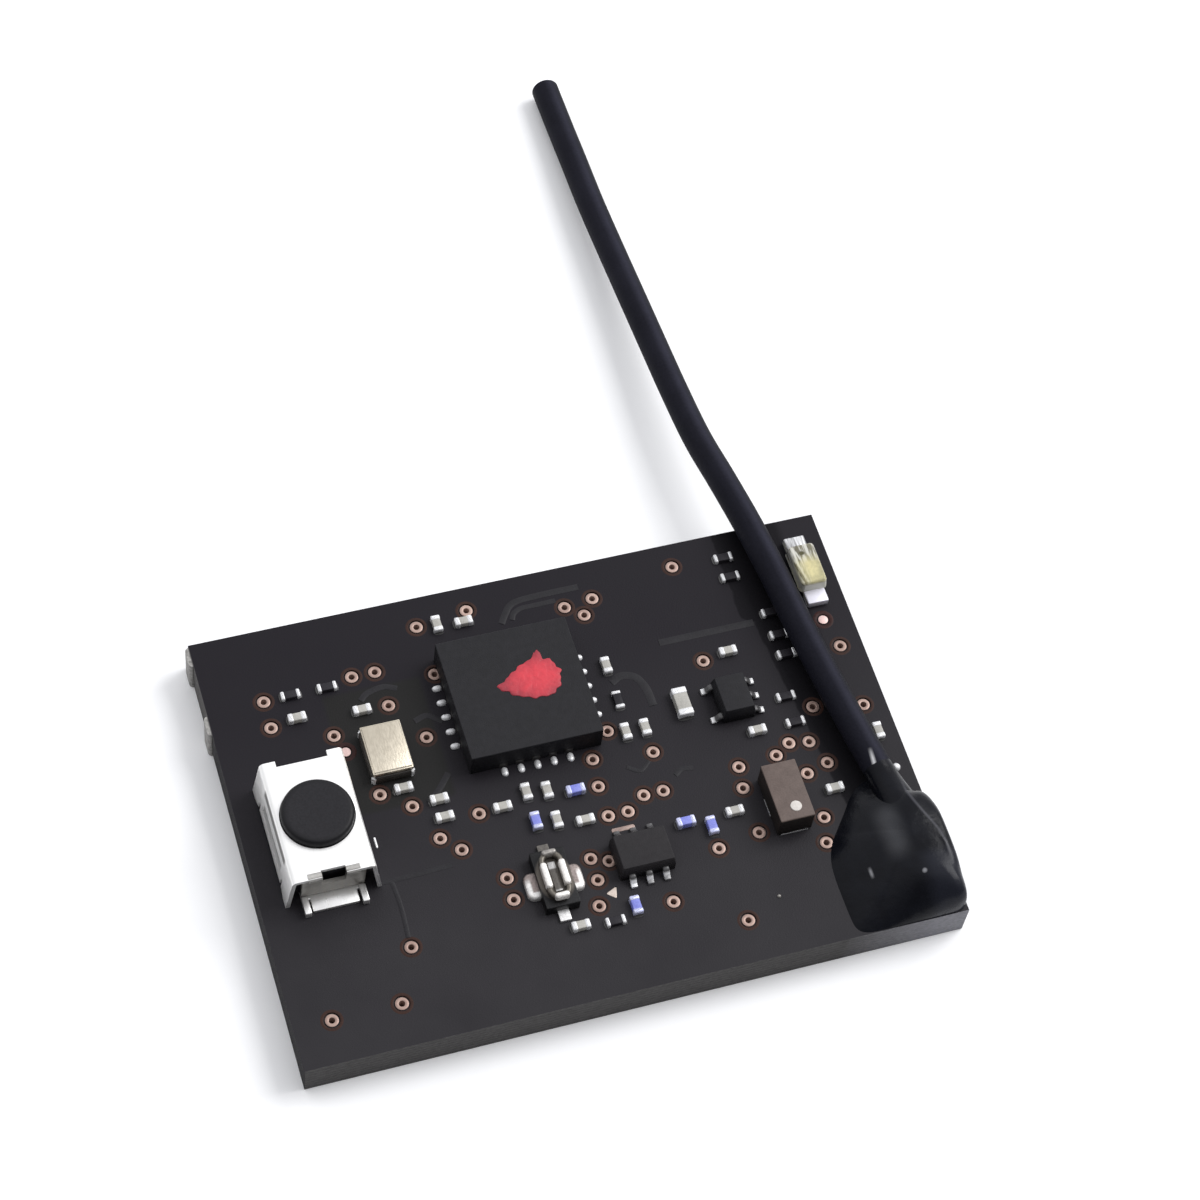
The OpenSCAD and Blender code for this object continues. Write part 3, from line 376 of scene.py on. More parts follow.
# Bare copper marks: two sighting dots, a small triangle beside the aerial switch and a strip behind it,
# left open in the mask.
def rounded(length, width, radius, steps=4):
    """A rectangle with round corners: a quarter turn at each corner, with the way outward at each point."""
    turn = np.linspace(0, np.pi / 2, steps + 1)[None] + np.arange(4)[:, None] * np.pi / 2
    outward = np.stack([np.cos(turn), np.sin(turn)], -1).reshape(-1, 2)
    corner = np.array([(1, 1), (-1, 1), (-1, -1), (1, -1)]) * (length / 2 - radius, width / 2 - radius)
    return np.repeat(corner, steps + 1, 0) + radius * outward, outward


def crown(height, edge, steps=4, foot=0.0, draft=0.0):
    """A profile that stands on foot, leans in by draft, and turns over into the top in a quarter round."""
    t = np.linspace(0, np.pi / 2, steps + 1)
    inset = draft + edge * (1 - np.cos(t))
    return np.concatenate([[(0, foot)], np.stack([inset, height - edge + edge * np.sin(t)], -1)])


def corners(points, radius, steps=4):
    """A round-cornered outline through a few points in anticlockwise order: the way outward turns evenly from
    one side's to the next side's at each corner."""
    p = np.asarray(points, float)
    side = np.roll(p, -1, 0) - p
    facing = np.arctan2(-side[:, 0], side[:, 1])
    swing = (facing - np.roll(facing, 1) + np.pi) % (2 * np.pi) - np.pi
    turn = np.roll(facing, 1)[:, None] + swing[:, None] * np.linspace(0, 1, steps + 1)[None]
    outward = np.stack([np.cos(turn), np.sin(turn)], -1)
    half = np.cos(swing / 2)[:, None]
    middle = facing - swing / 2
    centre = p - radius / half * np.stack([np.cos(middle), np.sin(middle)], -1)
    return (centre[:, None] + radius * outward).reshape(-1, 2), outward.reshape(-1, 2)


pink_copper = grained("pink_copper", (0.66, 0.46, 0.43), (0.82, 0.62, 0.58), (0.4, 0.6), 0.08, 0.002,
                      Metallic=0.4)
red_stain = grained("red_stain", (0.020, 0.008, 0.007), (0.050, 0.017, 0.015), (0.4, 0.55), 0.08, 0.002,
                    Specular_IOR_Level=0.16)
pale_copper = grained("pale_copper", (0.56, 0.46, 0.39), (0.76, 0.67, 0.60), (0.4, 0.6), 0.08, 0.002,
                      Metallic=0.4)
dull_copper = grained("dull_copper", (0.22, 0.155, 0.135), (0.48, 0.365, 0.32), (0.4, 0.6), 0.15, 0.002,
                      Metallic=0.4)
film = crown(0.006, 0.01, 2, -0.03)
dot_cells = [(-62, 24), (89, 33)]
dots = solid("sighting_dots", copies(raised(circle(0.15), film), dot_cells), pink_copper)
triangle = corners([(-0.2, 0.02), (0.06, -0.2), (0.16, 0.18)], 0.03)
solid("triangle_mark", copies(raised(triangle, film), [(0, -39)]), pale_copper)
strip = rounded(0.7, 0.14, 0.05)
solid("strip_mark", copies(raised(strip, film), [(9, -20)]), dull_copper)
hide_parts("copper_marks")
halo = [(0, -0.01), (0.03, 0.003), (0.12, 0.004), (0.15, -0.01)]
solid("dot_halos", copies(raised(circle(0.34), halo), dot_cells), red_stain, closed=True)

# Solder lands: six flat copper pads in a row on the underside, tinned when the board was dipped.
# They are level with the mask round them.
tin = grained("tin", (0.76, 0.76, 0.77), (0.90, 0.90, 0.91), (0.28, 0.45), 0.05, 0.002, Metallic=0.4)
dress("solder_lands", tin)

# Push switch: a black moulded base with a snap dome, under a cover stamped from bright rolled sheet and
# folded down round soft bends. Flaps close its ends, with two humps in front, over flat solder terminals.
switch_x, switch_y = -7.7, -0.1
switch_cell = [(-77, -1)]
cover_h, cover_top_half, lean, sheet_t = 1.4, 1.2, 0.2, 0.12
bend, steep = 0.16, np.arctan2(cover_h, lean)
start = cover_top_half - bend * np.tan(steep / 2)


def blank(loops, lines):
    """A flat sheet cut along closed loops, and creased along lines of two points: its points and triangles,
    with those outside the loops still in it."""
    points, edges = [], []
    for loop in loops:
        count = len(loop)
        edges += [(len(points) + i, len(points) + (i + 1) % count) for i in range(count)]
        points += [Vector(p) for p in loop]
    for line in lines:
        edges += [(len(points), len(points) + 1)]
        points += [Vector(p) for p in line]
    made = delaunay_2d_cdt(points, edges, [], 0, 1e-6)
    return np.array(made[0]), np.array(made[2])


def folded(flat, depth):
    """Where the points of the flat sheet go: the plate stays level, and both sides turn down round the bend
    and run on straight, leaning out. depth is how far below the outer skin."""
    s, y = flat.T
    turn = np.clip((np.abs(s) - start) / bend, 0, steep)
    run = np.maximum(np.abs(s) - start - bend * steep, 0)
    x = np.minimum(np.abs(s), start) + (bend - depth) * np.sin(turn) + run * np.cos(steep)
    z = board_top + cover_h - bend + (bend - depth) * np.cos(turn) - run * np.sin(steep)
    return np.stack([np.sign(s) * x + switch_x, y + switch_y, z], -1)


moulding = grained("moulding", (0.008, 0.0077, 0.0094), (0.0152, 0.0147, 0.0176), (0.5, 0.68), 0.03, 0.003,
                   Specular_IOR_Level=0.22)
steel = grained("rolled_steel", (0.88, 0.87, 0.85), (0.96, 0.955, 0.945), (0.26, 0.42), 0.04, 0.0015,
                stretch=(1, 0.06, 1), Metallic=0.8)
cover_steel, place = material("cover_steel", Metallic=0.6)
y, z = place.xyz()[1:]
# Painted shade: a dark grey band across the middle of the side walls, just below the bends.
painted_wall_shade = (2.52 - z).ramp(0.0, 0.06) * z.ramp(2.2, 2.28, 0.0, 0.85)
painted_wall_shade = painted_wall_shade * (1.2 - abs(y - switch_y)).ramp(0.0, 0.1)
grain = place.node("Mapping", {}, Vector=place, Scale=(1, 0.06, 1)).noise(0.04)
feed(place, Base_Color=painted_wall_shade.mix(grain.mix((0.92, 0.91, 0.89), (0.97, 0.965, 0.955)), (0.12, 0.115, 0.11)),
     Roughness=grain * 0.14 + 0.3, Normal=bump(grain, 0.0005))
# Painted shade: a darker copy of the steel for the flaps under the cover's edges; the small solder speck is
# dull steel too.
dull_and_shaded_steel = grained("dull_and_shaded_steel", (0.24, 0.23, 0.21), (0.38, 0.365, 0.34), (0.4, 0.55), 0.06, 0.002,
                     Metallic=0.7)
# Painted shade: a greyer copy of the steel for the humps, which bend down away from the light.
shaded_hump_steel = grained("shaded_hump_steel", (0.36, 0.35, 0.33), (0.52, 0.505, 0.48), (0.35, 0.5), 0.06, 0.002,
                     Metallic=0.7)
dress("switch_base", moulding, 0.03)
dress("switch_terminals", steel, 0.025)
# The flat blank: half of its outline from the front notch round to the rear one, and its mirror image.
high, low, hem, foot = [start + bend * steep + (cover_h - bend + bend * np.cos(steep) - h) / np.sin(steep)
                        for h in (0.76, 0.4, 0.14, 0.0)]
end_y, leg_y, slot_y, slit_in, slit_out, hole = 1.95, 1.65, 1.0, 1.2, 1.3, 1.08
front_x, front_y, rear_x, rear_y = 0.35, 1.73, 0.75, 1.76
half = [(front_x, -front_y), (front_x, -end_y), (foot, -end_y), (foot, -leg_y), (hem, -slit_out),
        (low, -slit_out), (low, -slit_in), (hem, -slit_in), (hem, slit_in), (low, slit_in), (low, slit_out),
        (hem, slit_out), (foot, leg_y), (foot, end_y), (rear_x, end_y), (rear_x, rear_y)]
whole = half + [(-s, y) for s, y in half[::-1]]
slots = [[(s * high, -slot_y), (s * low, -slot_y), (s * low, slot_y), (s * high, slot_y)] for s in (1, -1)]
creases = [[(s * (start + bend * steep * i / 6), y) for y in (-end_y, end_y)]
           for s in (1, -1) for i in range(7)]
flat, faces = blank([whole, circle(hole, 72)[0].tolist(), *slots], creases)
# Triangles with their middles outside the outline, or in the round hole, a slot or a slit, are left out.
s, y = np.abs(flat[faces].mean(1)).T
front = flat[faces].mean(1)[:, 1] < 0
keep = (np.hypot(s, y) > hole - 0.002) & (s < np.interp(y, [slit_out, leg_y], [hem, foot]))
keep &= ~((s < front_x) & (y > front_y) & front) & ~((s < rear_x) & (y > rear_y) & ~front)
keep &= ~((y > slit_in) & (y < slit_out) & (s > low)) & ~((y < slot_y) & (s > high) & (s < low))
faces = faces[keep]
# An edge with one triangle only lies on the rim, and joins the outer skin to the inner one.
count = len(flat)
ahead = np.roll(faces, -1, 1)
a, b = np.unique(np.stack([faces, ahead], -1).reshape(-1, 2), axis=0).T
lone = ~np.isin(b * count + a, a * count + b)
a, b = a[lone], b[lone]
rims = np.stack([b, a, a + count, b + count], -1)
mesh = bpy.data.meshes.new("cover_sheet")
mesh.from_pydata((np.concatenate([folded(flat, 0), folded(flat, sheet_t)]) / 1000).tolist(), [],
                 faces.tolist() + (faces[:, ::-1] + count).tolist() + rims.tolist())
mesh.shade_smooth()
mesh.set_sharp_from_angle(angle=np.radians(40))
cover = link(mesh, "cover_sheet", cover_steel)
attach(cover, "module")
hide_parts("switch_cover")


def bar(x0, x1, profile):
    """A closed profile of y and z carried from x0 to x1, from the middle of the switch."""
    ends = np.array([(x + switch_x, switch_y, board_top) for x in (x0, x1)])
    return carried(ends, np.asarray(profile, float))[None]


flap = [(-1.89, 0.85), (-1.8, 0.14), (-1.68, 0.14), (-1.77, 0.85)]
tab = [(-1.94, 1.29), (-1.89, 0.85), (-1.77, 0.85), (-1.82, 1.29)]
rear = [(1.68, 0.14), (1.8, 0.14), (1.88, 0.8), (1.76, 0.8)]
flap_x, hump_x = 0.92, 0.75
flaps = [bar(-flap_x, flap_x, flap), bar(-flap_x, -front_x, tab), bar(front_x, flap_x, tab),
         bar(-flap_x, flap_x, rear)]
solid("cover_flaps", np.concatenate(flaps), dull_and_shaded_steel)
hump = circle(0.14, 20)[0] + (-1.85, 1.29)
humps = [bar(-hump_x, -front_x, hump), bar(front_x, hump_x, hump)]
solid("cover_humps", np.concatenate(humps), shaded_hump_steel)
# The dome's underside and top are parabolas of the way out from its middle, 0.05 to 0.06 apart.
dome_r, dome_foot = 0.85, 1.7
u = np.linspace(0.04, 1, 9)
under = np.stack([dome_r * (1 - u), 0.23 * (1 - u * u)], -1)
over = np.stack([dome_r * (1 - u), 0.05 * u + 0.28 * (1 - u * u)], -1)[::-1]
dome = raised(circle(dome_r, 40), np.concatenate([under, over]))
dome = solid("snap_dome", copies(dome, switch_cell, dome_foot), steel)
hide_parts("switch_dome")
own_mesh(dome)


# Button: a round crown of satin black plastic on its flange, with a plunger over the dome.
# The top is very slightly hollow, and its rim is rounded over.
def apart(x, y, middle, across=1.0, along=1.0):
    """The squares of the ways from the middle in x and y, times across and along, added."""
    right = x - middle[0]
    back = y - middle[1]
    return right * right * across + back * back * along


button_black, place = material("button_black", Specular_IOR_Level=0.21)
x, y = place.xyz()[:2]
# Painted shade: the crown is painted darker towards its rounded rim.
rim = apart(x, y, (switch_x, switch_y)).ramp(0.7, 1.0)
grain = place.noise(0.06)
tone = grain.mix((0.0092, 0.0086, 0.0108), (0.0153, 0.0145, 0.0178))
feed(place, Base_Color=(rim * 0.8).mix(tone, (0.004, 0.0038, 0.0048)), Roughness=grain * 0.16 + 0.42,
     Normal=bump(grain, 0.002))
flange_top = 2.47
profile = [(0, -0.02), (0, 0.24), (0.012, 0.30), (0.04, 0.345), (0.085, 0.371), (0.14, 0.38), (0.25, 0.378),
           (0.6, 0.372), (1.0, 0.370)]
button = raised(circle(1.05, 72), profile)
button = solid("button_crown", copies(button, switch_cell, flange_top), button_black, body="button")
flange = raised(rounded(1.74, 2.48, 0.15), crown(0, 0.03, 3, -0.2))
solid("button_flange", copies(flange, switch_cell, flange_top), button_black, body="button")
plunger = raised(circle(0.35), [(0.03, -0.48), (0, -0.45), (0, -0.19)])
solid("button_plunger", copies(plunger, switch_cell, flange_top), button_black, body="button")
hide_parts("switch_button")

# Radio chip: a square body moulded in black resin, soldered to the board by five contacts on each side.
# The cut ends of the contacts show as dull copper at its foot.
dress("radio_body", moulding, 0.03)
cut_copper = grained("cut_copper", (0.016, 0.015, 0.015), (0.04, 0.036, 0.034), (0.4, 0.6), 0.05, 0.002)
dress("radio_contacts", cut_copper)


# Paint mark: a dab of red marker paint on the radio chip, thin at its left end and its edges, thickest
# in the middle.
def heap(foot, top, height, draw, rise, rows):
    """A heap over a foot line: ring by ring the foot draws in to the point under the top, by the cosine of an
    angle to the power of draw, and rises by its sine to the power of rise. Each point has its own powers."""
    t = np.linspace(0, 0.99 * np.pi / 2, rows)[:, None]
    flat = np.asarray(top) + (foot - top)[None] * (np.cos(t) ** draw)[..., None]
    return np.concatenate([flat, (height * np.sin(t) ** rise + 0 * draw)[..., None]], -1)


red_paint, place = material("red_paint", Specular_IOR_Level=0.4)
x, y = place.xyz()[:2]
thick = apart(x, y, (-0.28, 3.0), 0.8, 1.6).ramp(0.1, 0.9, 1.0, 0.0)
blotch = place.noise(0.22)
feed(place, Base_Color=(thick * 0.7 + blotch * 0.3).mix((0.24, 0.02, 0.035), (0.66, 0.042, 0.062)),
     Roughness=blotch * 0.25 + 0.35, Normal=bump(blotch, 0.012))
foot = smooth_line([
    (-1.46, 3.0), (-1.44, 2.8), (-1.2, 2.66), (-1.0, 2.48), (-0.68, 2.38), (-0.4, 2.3), (-0.1, 2.32),
    (0.14, 2.4), (0.3, 2.6), (0.4, 2.84), (0.43, 3.05), (0.36, 3.28), (0.24, 3.47), (0.05, 3.6),
    (-0.02, 3.84), (-0.12, 3.86), (-0.26, 3.67), (-0.52, 3.56), (-0.78, 3.42), (-1.0, 3.3), (-1.2, 3.12)],
    5, closed=True)
swirl = np.linspace(0, 2 * np.pi, len(foot), endpoint=False)
ragged = 1 + 0.035 * np.sin(11 * swirl) + 0.03 * np.sin(19 * swirl + 1)
middle = np.array((-0.4, 3.0))
foot = middle + (foot - middle) * ragged[:, None]
even = np.ones(len(foot))
chip_top = 2.08
dab = heap(foot, (-0.3, 3.0), 0.029, even, 0.35 * even, 10) + (0, 0, chip_top)
dab = solid("red_dab", dab[None], red_paint)
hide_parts("paint_dab")

# Crystal: a dark fired ceramic base, closed by a metal lid that is welded round its rim.
# Its plated corners are soldered to the board.
dark_ceramic = grained("dark_ceramic", (0.020, 0.017, 0.014), (0.036, 0.031, 0.027), (0.5, 0.7), 0.03, 0.002)
lid_metal = grained("lid_metal", (0.48, 0.43, 0.345), (0.60, 0.545, 0.45), (0.3, 0.48), 0.05, 0.002,
                    stretch=(1, 0.3, 1), Metallic=1.0)
dress("crystal_base", dark_ceramic, 0.02)
dress("crystal_lid", lid_metal, 0.02)
dress("crystal_terminals", tin)

# Regulator and aerial switch: small moulded chips. Their tinned leads come out of the mould's parting line,
# bend down and lie flat on the board.
dress("regulator_body", moulding, 0.03)
pale_moulding = grained("pale_moulding", (0.013, 0.0115, 0.013), (0.022, 0.020, 0.022), (0.5, 0.68), 0.03,
                        0.003, Specular_IOR_Level=0.22)
dress("aerial_switch_body", pale_moulding, 0.03)
lead_tin, place = material("lead_tin", Metallic=0.4)
x, y, z = place.xyz()
# Painted shade: the leads are painted dark above their feet, and so are the aerial switch's rear leads and
# the tips of two front ones.
near = (3.0 - x).ramp(0.0, 0.1)
painted_lead_shade = (z - near * 0.09).ramp(1.29, 1.34).maths("MAXIMUM", (y + 2.7).ramp(0.0, 0.1) * near)
painted_lead_shade = painted_lead_shade.maths("MAXIMUM", (-3.8 - y).ramp(0.0, 0.05) * (x - 0.9).ramp(0.0, 0.05) * near * 0.8)
grain = place.noise(0.05)
feed(place, Base_Color=painted_lead_shade.mix(grain.mix((0.76, 0.76, 0.77), (0.90, 0.90, 0.91)), (0.09, 0.088, 0.09)),
     Roughness=grain * 0.17 + 0.28, Normal=bump(grain, 0.002))
# A lead's line: out of the body, down to the board and along it.
gull = smooth_line([(0, -0.01, 0.23), (0, 0.06, 0.225), (0, 0.13, 0.15), (0, 0.2, 0.075), (0, 0.27, 0.052),
                    (0, 0.32, 0.05)], 3)
lead = carried(gull, rounded(0.2, 0.1, 0.045, 2)[0])
leads = [(53 + s * 5, 12.5 + 5 * i, -90 * s) for s, steps in ((1, (-1, 0, 1)), (-1, (-1, 1))) for i in steps]
regulator_leads = solid("regulator_gull_leads", copies(lead, leads), lead_tin)
leads = [(11.5 + 5 * i, -30 + s * 6, 90 - 90 * s) for s in (-1, 1) for i in (-1, 0, 1)]
switch_leads = solid("aerial_switch_gull_leads", copies(lead, leads), lead_tin)
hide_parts("regulator_leads")
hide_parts("aerial_switch_leads")

# Filter: a fired brown ceramic block with its sides painted near black as shade, soldered down on thin silver
# lands.
# A white dot is printed on its top to mark one end.
brown_ceramic, place = material("brown_ceramic", Specular_IOR_Level=0.3)
tone = place.noise(0.05) * 0.5 + place.noise(0.3) * 0.5
height = place.xyz()[2]
fired = tone.mix((0.092, 0.067, 0.058), (0.145, 0.110, 0.097))
# Painted shade: below its top the block is painted near black.
feed(place, Base_Color=height.ramp(2.0, 2.04).mix((0.014, 0.011, 0.010), fired), Roughness=tone * 0.2 + 0.5,
     Normal=bump(tone, 0.004))
white_paint = grained("white_paint", (0.50, 0.46, 0.42), (0.70, 0.66, 0.62), (0.4, 0.6), 0.08, 0.004)
dress("filter_body", brown_ceramic, 0.035)
dress("filter_lands", tin)
spot = raised(circle(0.17), crown(0.025, 0.02, 3)) + (0.06, -0.55, 0)
filter_top = 2.06
spot = solid("filter_spot", copies(spot, [(57, -24)], filter_top), white_paint)
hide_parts("filter_dot")


# Test socket: a formed nickel shell on a black base. Its plate carries a collar with a rounded rib on each
# side and end, and a tab is bent down each side, brighter along its outer and front edges.
def nickel(name, plain, bright, share):
    """Brushed nickel of a plain tone that turns bright where share, a value from 0 to 1 made from the place
    on the piece, is 1."""
    made, place = material(name, Metallic=0.6)
    x, y, z = place.xyz()
    grain = place.noise(0.06)
    part = share(x, y, z)
    ends = [part.mix(np.array(plain) * k, np.array(bright) * (0.4 + 0.6 * k)) for k in (0.7, 1.2)]
    feed(place, Base_Color=grain.mix(*ends), Roughness=grain * 0.15 + 0.35, Normal=bump(grain, 0.002))
    return made


shell_x, shell_y, plate_top = -1.55, -3.2, 1.6
plate = nickel("shell_plate", (0.012, 0.012, 0.013), (0.12, 0.105, 0.09), lambda x, y, z: (
    z.ramp(1.56, 1.58) * apart(x, y, (shell_x, shell_y), 3.2, 1.7).ramp(0.75, 1.05, 1.0, 0.0)))
ring_nickel = nickel("shell_ring", (0.06, 0.053, 0.046), (0.15, 0.135, 0.115),
                     lambda x, y, z: z.ramp(1.7, 1.8))
rib_nickel = nickel("shell_rib", (0.34, 0.32, 0.30), (0.86, 0.83, 0.79),
                    lambda x, y, z: (-2.7 - y).ramp(0.0, 0.15))
tab_nickel = nickel("shell_tab", (0.30, 0.25, 0.235), (0.86, 0.84, 0.82), lambda x, y, z: (
    (abs(x - shell_x) - 0.66).ramp(0.0, 0.05).maths("MAXIMUM", (-3.4 - y).ramp(0.0, 0.05))
    * (-2.95 - y).ramp(0.0, 0.2)))
pin_nickel = nickel("shell_pin", (0.12, 0.11, 0.10), (0.85, 0.84, 0.83), lambda x, y, z: (
    (-3.6 - y).ramp(0.0, 0.1).maths("MAXIMUM", (y + 2.98).ramp(0.0, 0.05) * z.ramp(1.5, 1.55) * 0.6)))
dress("socket_base", plate, 0.03)
dress("socket_contacts", pin_nickel, 0.02)
turn = np.radians(np.linspace(0, 180, 7))
lip = np.stack([0.08 - 0.08 * np.cos(turn), 0.17 + 0.07 * np.sin(turn)], -1)
lip = np.concatenate([[(0, 0)], lip, [(0.16, 0)]])
rim = raised(rounded(0.72, 1.55, 0.36, 8), lip)
rim = solid("socket_collar", copies(rim, [(-15.5, -32)], plate_top), ring_nickel, closed=True)
rib = raised(rounded(0.2, 0.82, 0.09), crown(0.32, 0.07, 4, 0.1))
solid("socket_side_ribs", copies(rib, [(-18.2, -32), (-12.8, -32)], plate_top), rib_nickel)
rib = raised(rounded(0.44, 0.18, 0.085), crown(0.32, 0.07, 4, 0.1))
solid("socket_end_ribs", copies(rib, [(-15.5, -25.1), (-15.5, -38.9)], plate_top), rib_nickel)
tab = raised(rounded(0.5, 0.84, 0.2, 6), crown(0.2, 0.1, 5)) + (0.6, 0, 0)
solid("socket_tabs", copies(tab, [(-15.5, -32, 0), (-15.5, -32, 180)]), tab_nickel)
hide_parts("socket_shell")

# Light: a small laminate base with terminals wrapped round its ends, soldered to the board.
# A clear yellowish lens is moulded over the die and its fine wire.
white_laminate = grained("white_laminate", (0.55, 0.54, 0.48), (0.72, 0.71, 0.64), (0.45, 0.6), 0.06, 0.003)
clear_resin, place = material("clear_resin", Transmission_Weight=0.3, IOR=1.5, Roughness=0.12)
x, y, z = place.xyz()
glow = apart(x, y, (8.88, 4.82), 2.4).ramp(0.02, 0.42, 1.0, 0.0, smooth=True)
die = apart(x, y, (8.83, 5.38), 1.0, 1.6).ramp(0.004, 0.012, 1.0, 0.0)
wire = abs(x - 8.69 + (y - 5.3) * 0.2).ramp(0.01, 0.04, 1.0, 0.0)
wire = wire * abs(y - 5.32).ramp(0.12, 0.2, 1.0, 0.0)
streak = place.node("Mapping", {}, Vector=place, Scale=(1, 0.12, 1)).noise(0.09).ramp(0.35, 0.65)
resin = (glow * 0.6 + place.noise(0.13) * 0.4).mix((0.42, 0.39, 0.23), (0.92, 0.83, 0.44))
gold = streak.mix((0.10, 0.08, 0.03), (0.90, 0.86, 0.64))
silver = streak.mix((0.14, 0.13, 0.11), (0.92, 0.91, 0.87))
resin = ((8.86 - x).ramp(0.0, 0.3) * 0.8).mix(resin, gold)
resin = z.ramp(1.66, 1.76).mix((0.86, 0.85, 0.76), resin)
resin = ((y - 5.0).ramp(0.0, 0.35) * 0.75).mix(resin, silver)
feed(place, Base_Color=wire.mix(die.mix(resin, (0.10, 0.09, 0.035)), (0.85, 0.84, 0.74)))
dress("light_base", white_laminate, 0.02)
dress("light_die_chip", copper)
light_tin, place = material("light_tin", Metallic=0.4, Roughness=0.4)
streak = place.node("Mapping", {}, Vector=place, Scale=(1, 0.12, 1)).noise(0.09)
back = place.xyz()[1].ramp(4.9, 5.1)
feed(place, Base_Color=back.mix((0.74, 0.73, 0.80), streak.mix((0.10, 0.10, 0.10), (0.86, 0.86, 0.88))))
dress("light_terminals", light_tin, 0.03)
lens_foot = 1.4
lens = raised(rounded(0.9, 1.5, 0.16, 5), crown(0.4, 0.09, 5, 0.0, 0.04))
lens = solid("light_dome", copies(lens, [(89, 50)], lens_foot), clear_resin)
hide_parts("light_lens")

# Chip parts: ceramic blocks with plated ends. Capacitors are pale, resistors black, inductors blue.
# The ends wrap over the block with soft corners, and solder runs up each of them from the board.
pale_ceramic = grained("pale_ceramic", (0.33, 0.32, 0.29), (0.46, 0.445, 0.41), (0.4, 0.6), 0.05, 0.003)
flowed_tin = grained("flowed_tin", (0.07, 0.068, 0.068), (0.15, 0.147, 0.145), (0.35, 0.5), 0.05, 0.002,
                     Metallic=0.5)
black_glaze = grained("black_glaze", (0.015, 0.0135, 0.017), (0.024, 0.022, 0.027), (0.4, 0.55), 0.05, 0.002,
                      Specular_IOR_Level=0.18)
blue_ceramic = grained("blue_ceramic", (0.15, 0.17, 0.56), (0.26, 0.29, 0.72), (0.3, 0.5), 0.05, 0.003)
blue_tin = grained("blue_tin", (0.50, 0.53, 0.82), (0.72, 0.74, 0.93), (0.3, 0.45), 0.05, 0.002, Metallic=0.4)
capacitor_cells = [
    (-73, 38), (-54, 36), (-49, 8), (-40, 2), (-40, -4), (-23, -5), (-17, 58), (-1, -15), (-12, -47),
    (57, 29), (57, 1), (42, -23), (73, -23), (-25, 59, 90), (-15, -2, 90), (-9, -3, 90), (-9, -13, 90),
    (20, 33, 90), (19, 10, 90), (25, 10, 90), (92, -8, 90)]
resistor_cells = [
    (-73, 46), (-62, 46), (-2, -48), (69, 10), (69, 1), (66, 61), (66, 54), (74, 39), (74, 31), (74, 24),
    (20, 21, 90)]
inductor_cells = [(-1, -5), (27, -23), (-15, -12, 90), (34, -26, 90), (5, -45, 90)]
# Name, its node's ending, length, width, height, length of an end, finish, slot and cells.
chips = [
    ("capacitor", "bodies", 0.54, 0.28, 0.20, 0.16, pale_ceramic, "pale_ceramic", capacitor_cells),
    ("resistor", "bodies", 0.58, 0.28, 0.15, 0.12, black_glaze, "black_glaze", resistor_cells),
    ("inductor", "bodies", 0.56, 0.29, 0.24, 0.15, blue_ceramic, "blue_ceramic", inductor_cells),
    ("large_capacitor", "body", 0.94, 0.46, 0.30, 0.22, pale_ceramic, "pale_ceramic", [(38, 15, 90)])]


def fillet(width, rise, reach):
    """Solder between an end and the board: a hollow-cheeked profile carried across the end, which draws in
    by the root of one less four fifths of the square of the way to each corner."""
    across = np.linspace(1, -1, 5)
    draw = np.sqrt(1 - 0.8 * across ** 2)[:, None]
    out, high = np.array([(-0.3, 0), (1, 0), (0.5, 0.2), (0.22, 0.5), (0.06, 0.85), (-0.3, 1)]).T[:, None]
    return np.stack([reach * out * draw, across[:, None] * width / 2 + 0 * out, rise * high * draw], -1)


def both_ends(loops, shift, cells):
    """The loops moved out along the part and turned to both of its ends, at every cell."""
    turned = [(*c, 0)[:3] for c in cells]
    turned += [(c[0], c[1], c[2] + 180) for c in turned]
    return copies(loops + (shift, 0, 0), turned)


for name, many, length, width, height, end, finish, slot, cells in chips:
    block = raised(rounded(length - 0.04, width - 0.03, 0.03, 2), crown(height - 0.015, 0.02, 2))
    cap = raised(rounded(end, width, 0.04, 2), crown(height, 0.045, 3))
    plating = blue_tin if slot == "blue_ceramic" else tin
    made = solid(name + "_blocks", copies(block, cells), finish)
    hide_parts("%s_%s" % (name, many))
    made = solid(name + "_plating", both_ends(cap, (length - end) / 2, cells), plating)
    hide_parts(name + "_ends")
    flow = both_ends(fillet(width, height * 0.5, 0.05), length / 2, cells)
    flow = solid(name + "_fillets", flow, flowed_tin)
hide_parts("solder")

# Solder at the radio chip and on bare spots: it ran out of the paste into short bright beads in front of the
# contacts, a drop, a speck and a dash.
turn = np.radians(np.linspace(0, 80, 5))
bead = np.stack([0.1 - 0.1 * np.cos(turn), 0.09 * np.sin(turn)], -1)
bead = raised(rounded(0.2, 0.3, 0.1, 3), bead)
# Five contacts on a side: steps along it, out from the middle of the chip, turned to each of four sides.
chip_x, chip_y, pitch, out = -9, 28, 5, 21.7
contacts = [(chip_x + pitch * i * np.cos(a) + out * np.sin(a),
             chip_y + pitch * i * np.sin(a) - out * np.cos(a), np.degrees(a))
            for a in np.radians([0, 90, 180, 270]) for i in range(-2, 3)]
solid("contact_beads", copies(bead, contacts), tin)
drop = np.stack([0.06 - 0.06 * np.cos(turn), 0.06 * np.sin(turn)], -1)
solid("solder_drops", copies(raised(circle(0.13, 16), drop * 2), [(93.3, -20.6)]), tin)
solid("solder_specks", copies(raised(circle(0.06, 16), drop), [(46, -52)]), dull_and_shaded_steel)
solid("solder_dash", copies(raised(rounded(0.07, 0.36, 0.035), drop * 0.55), [(-61.2, -6.8)]), tin)

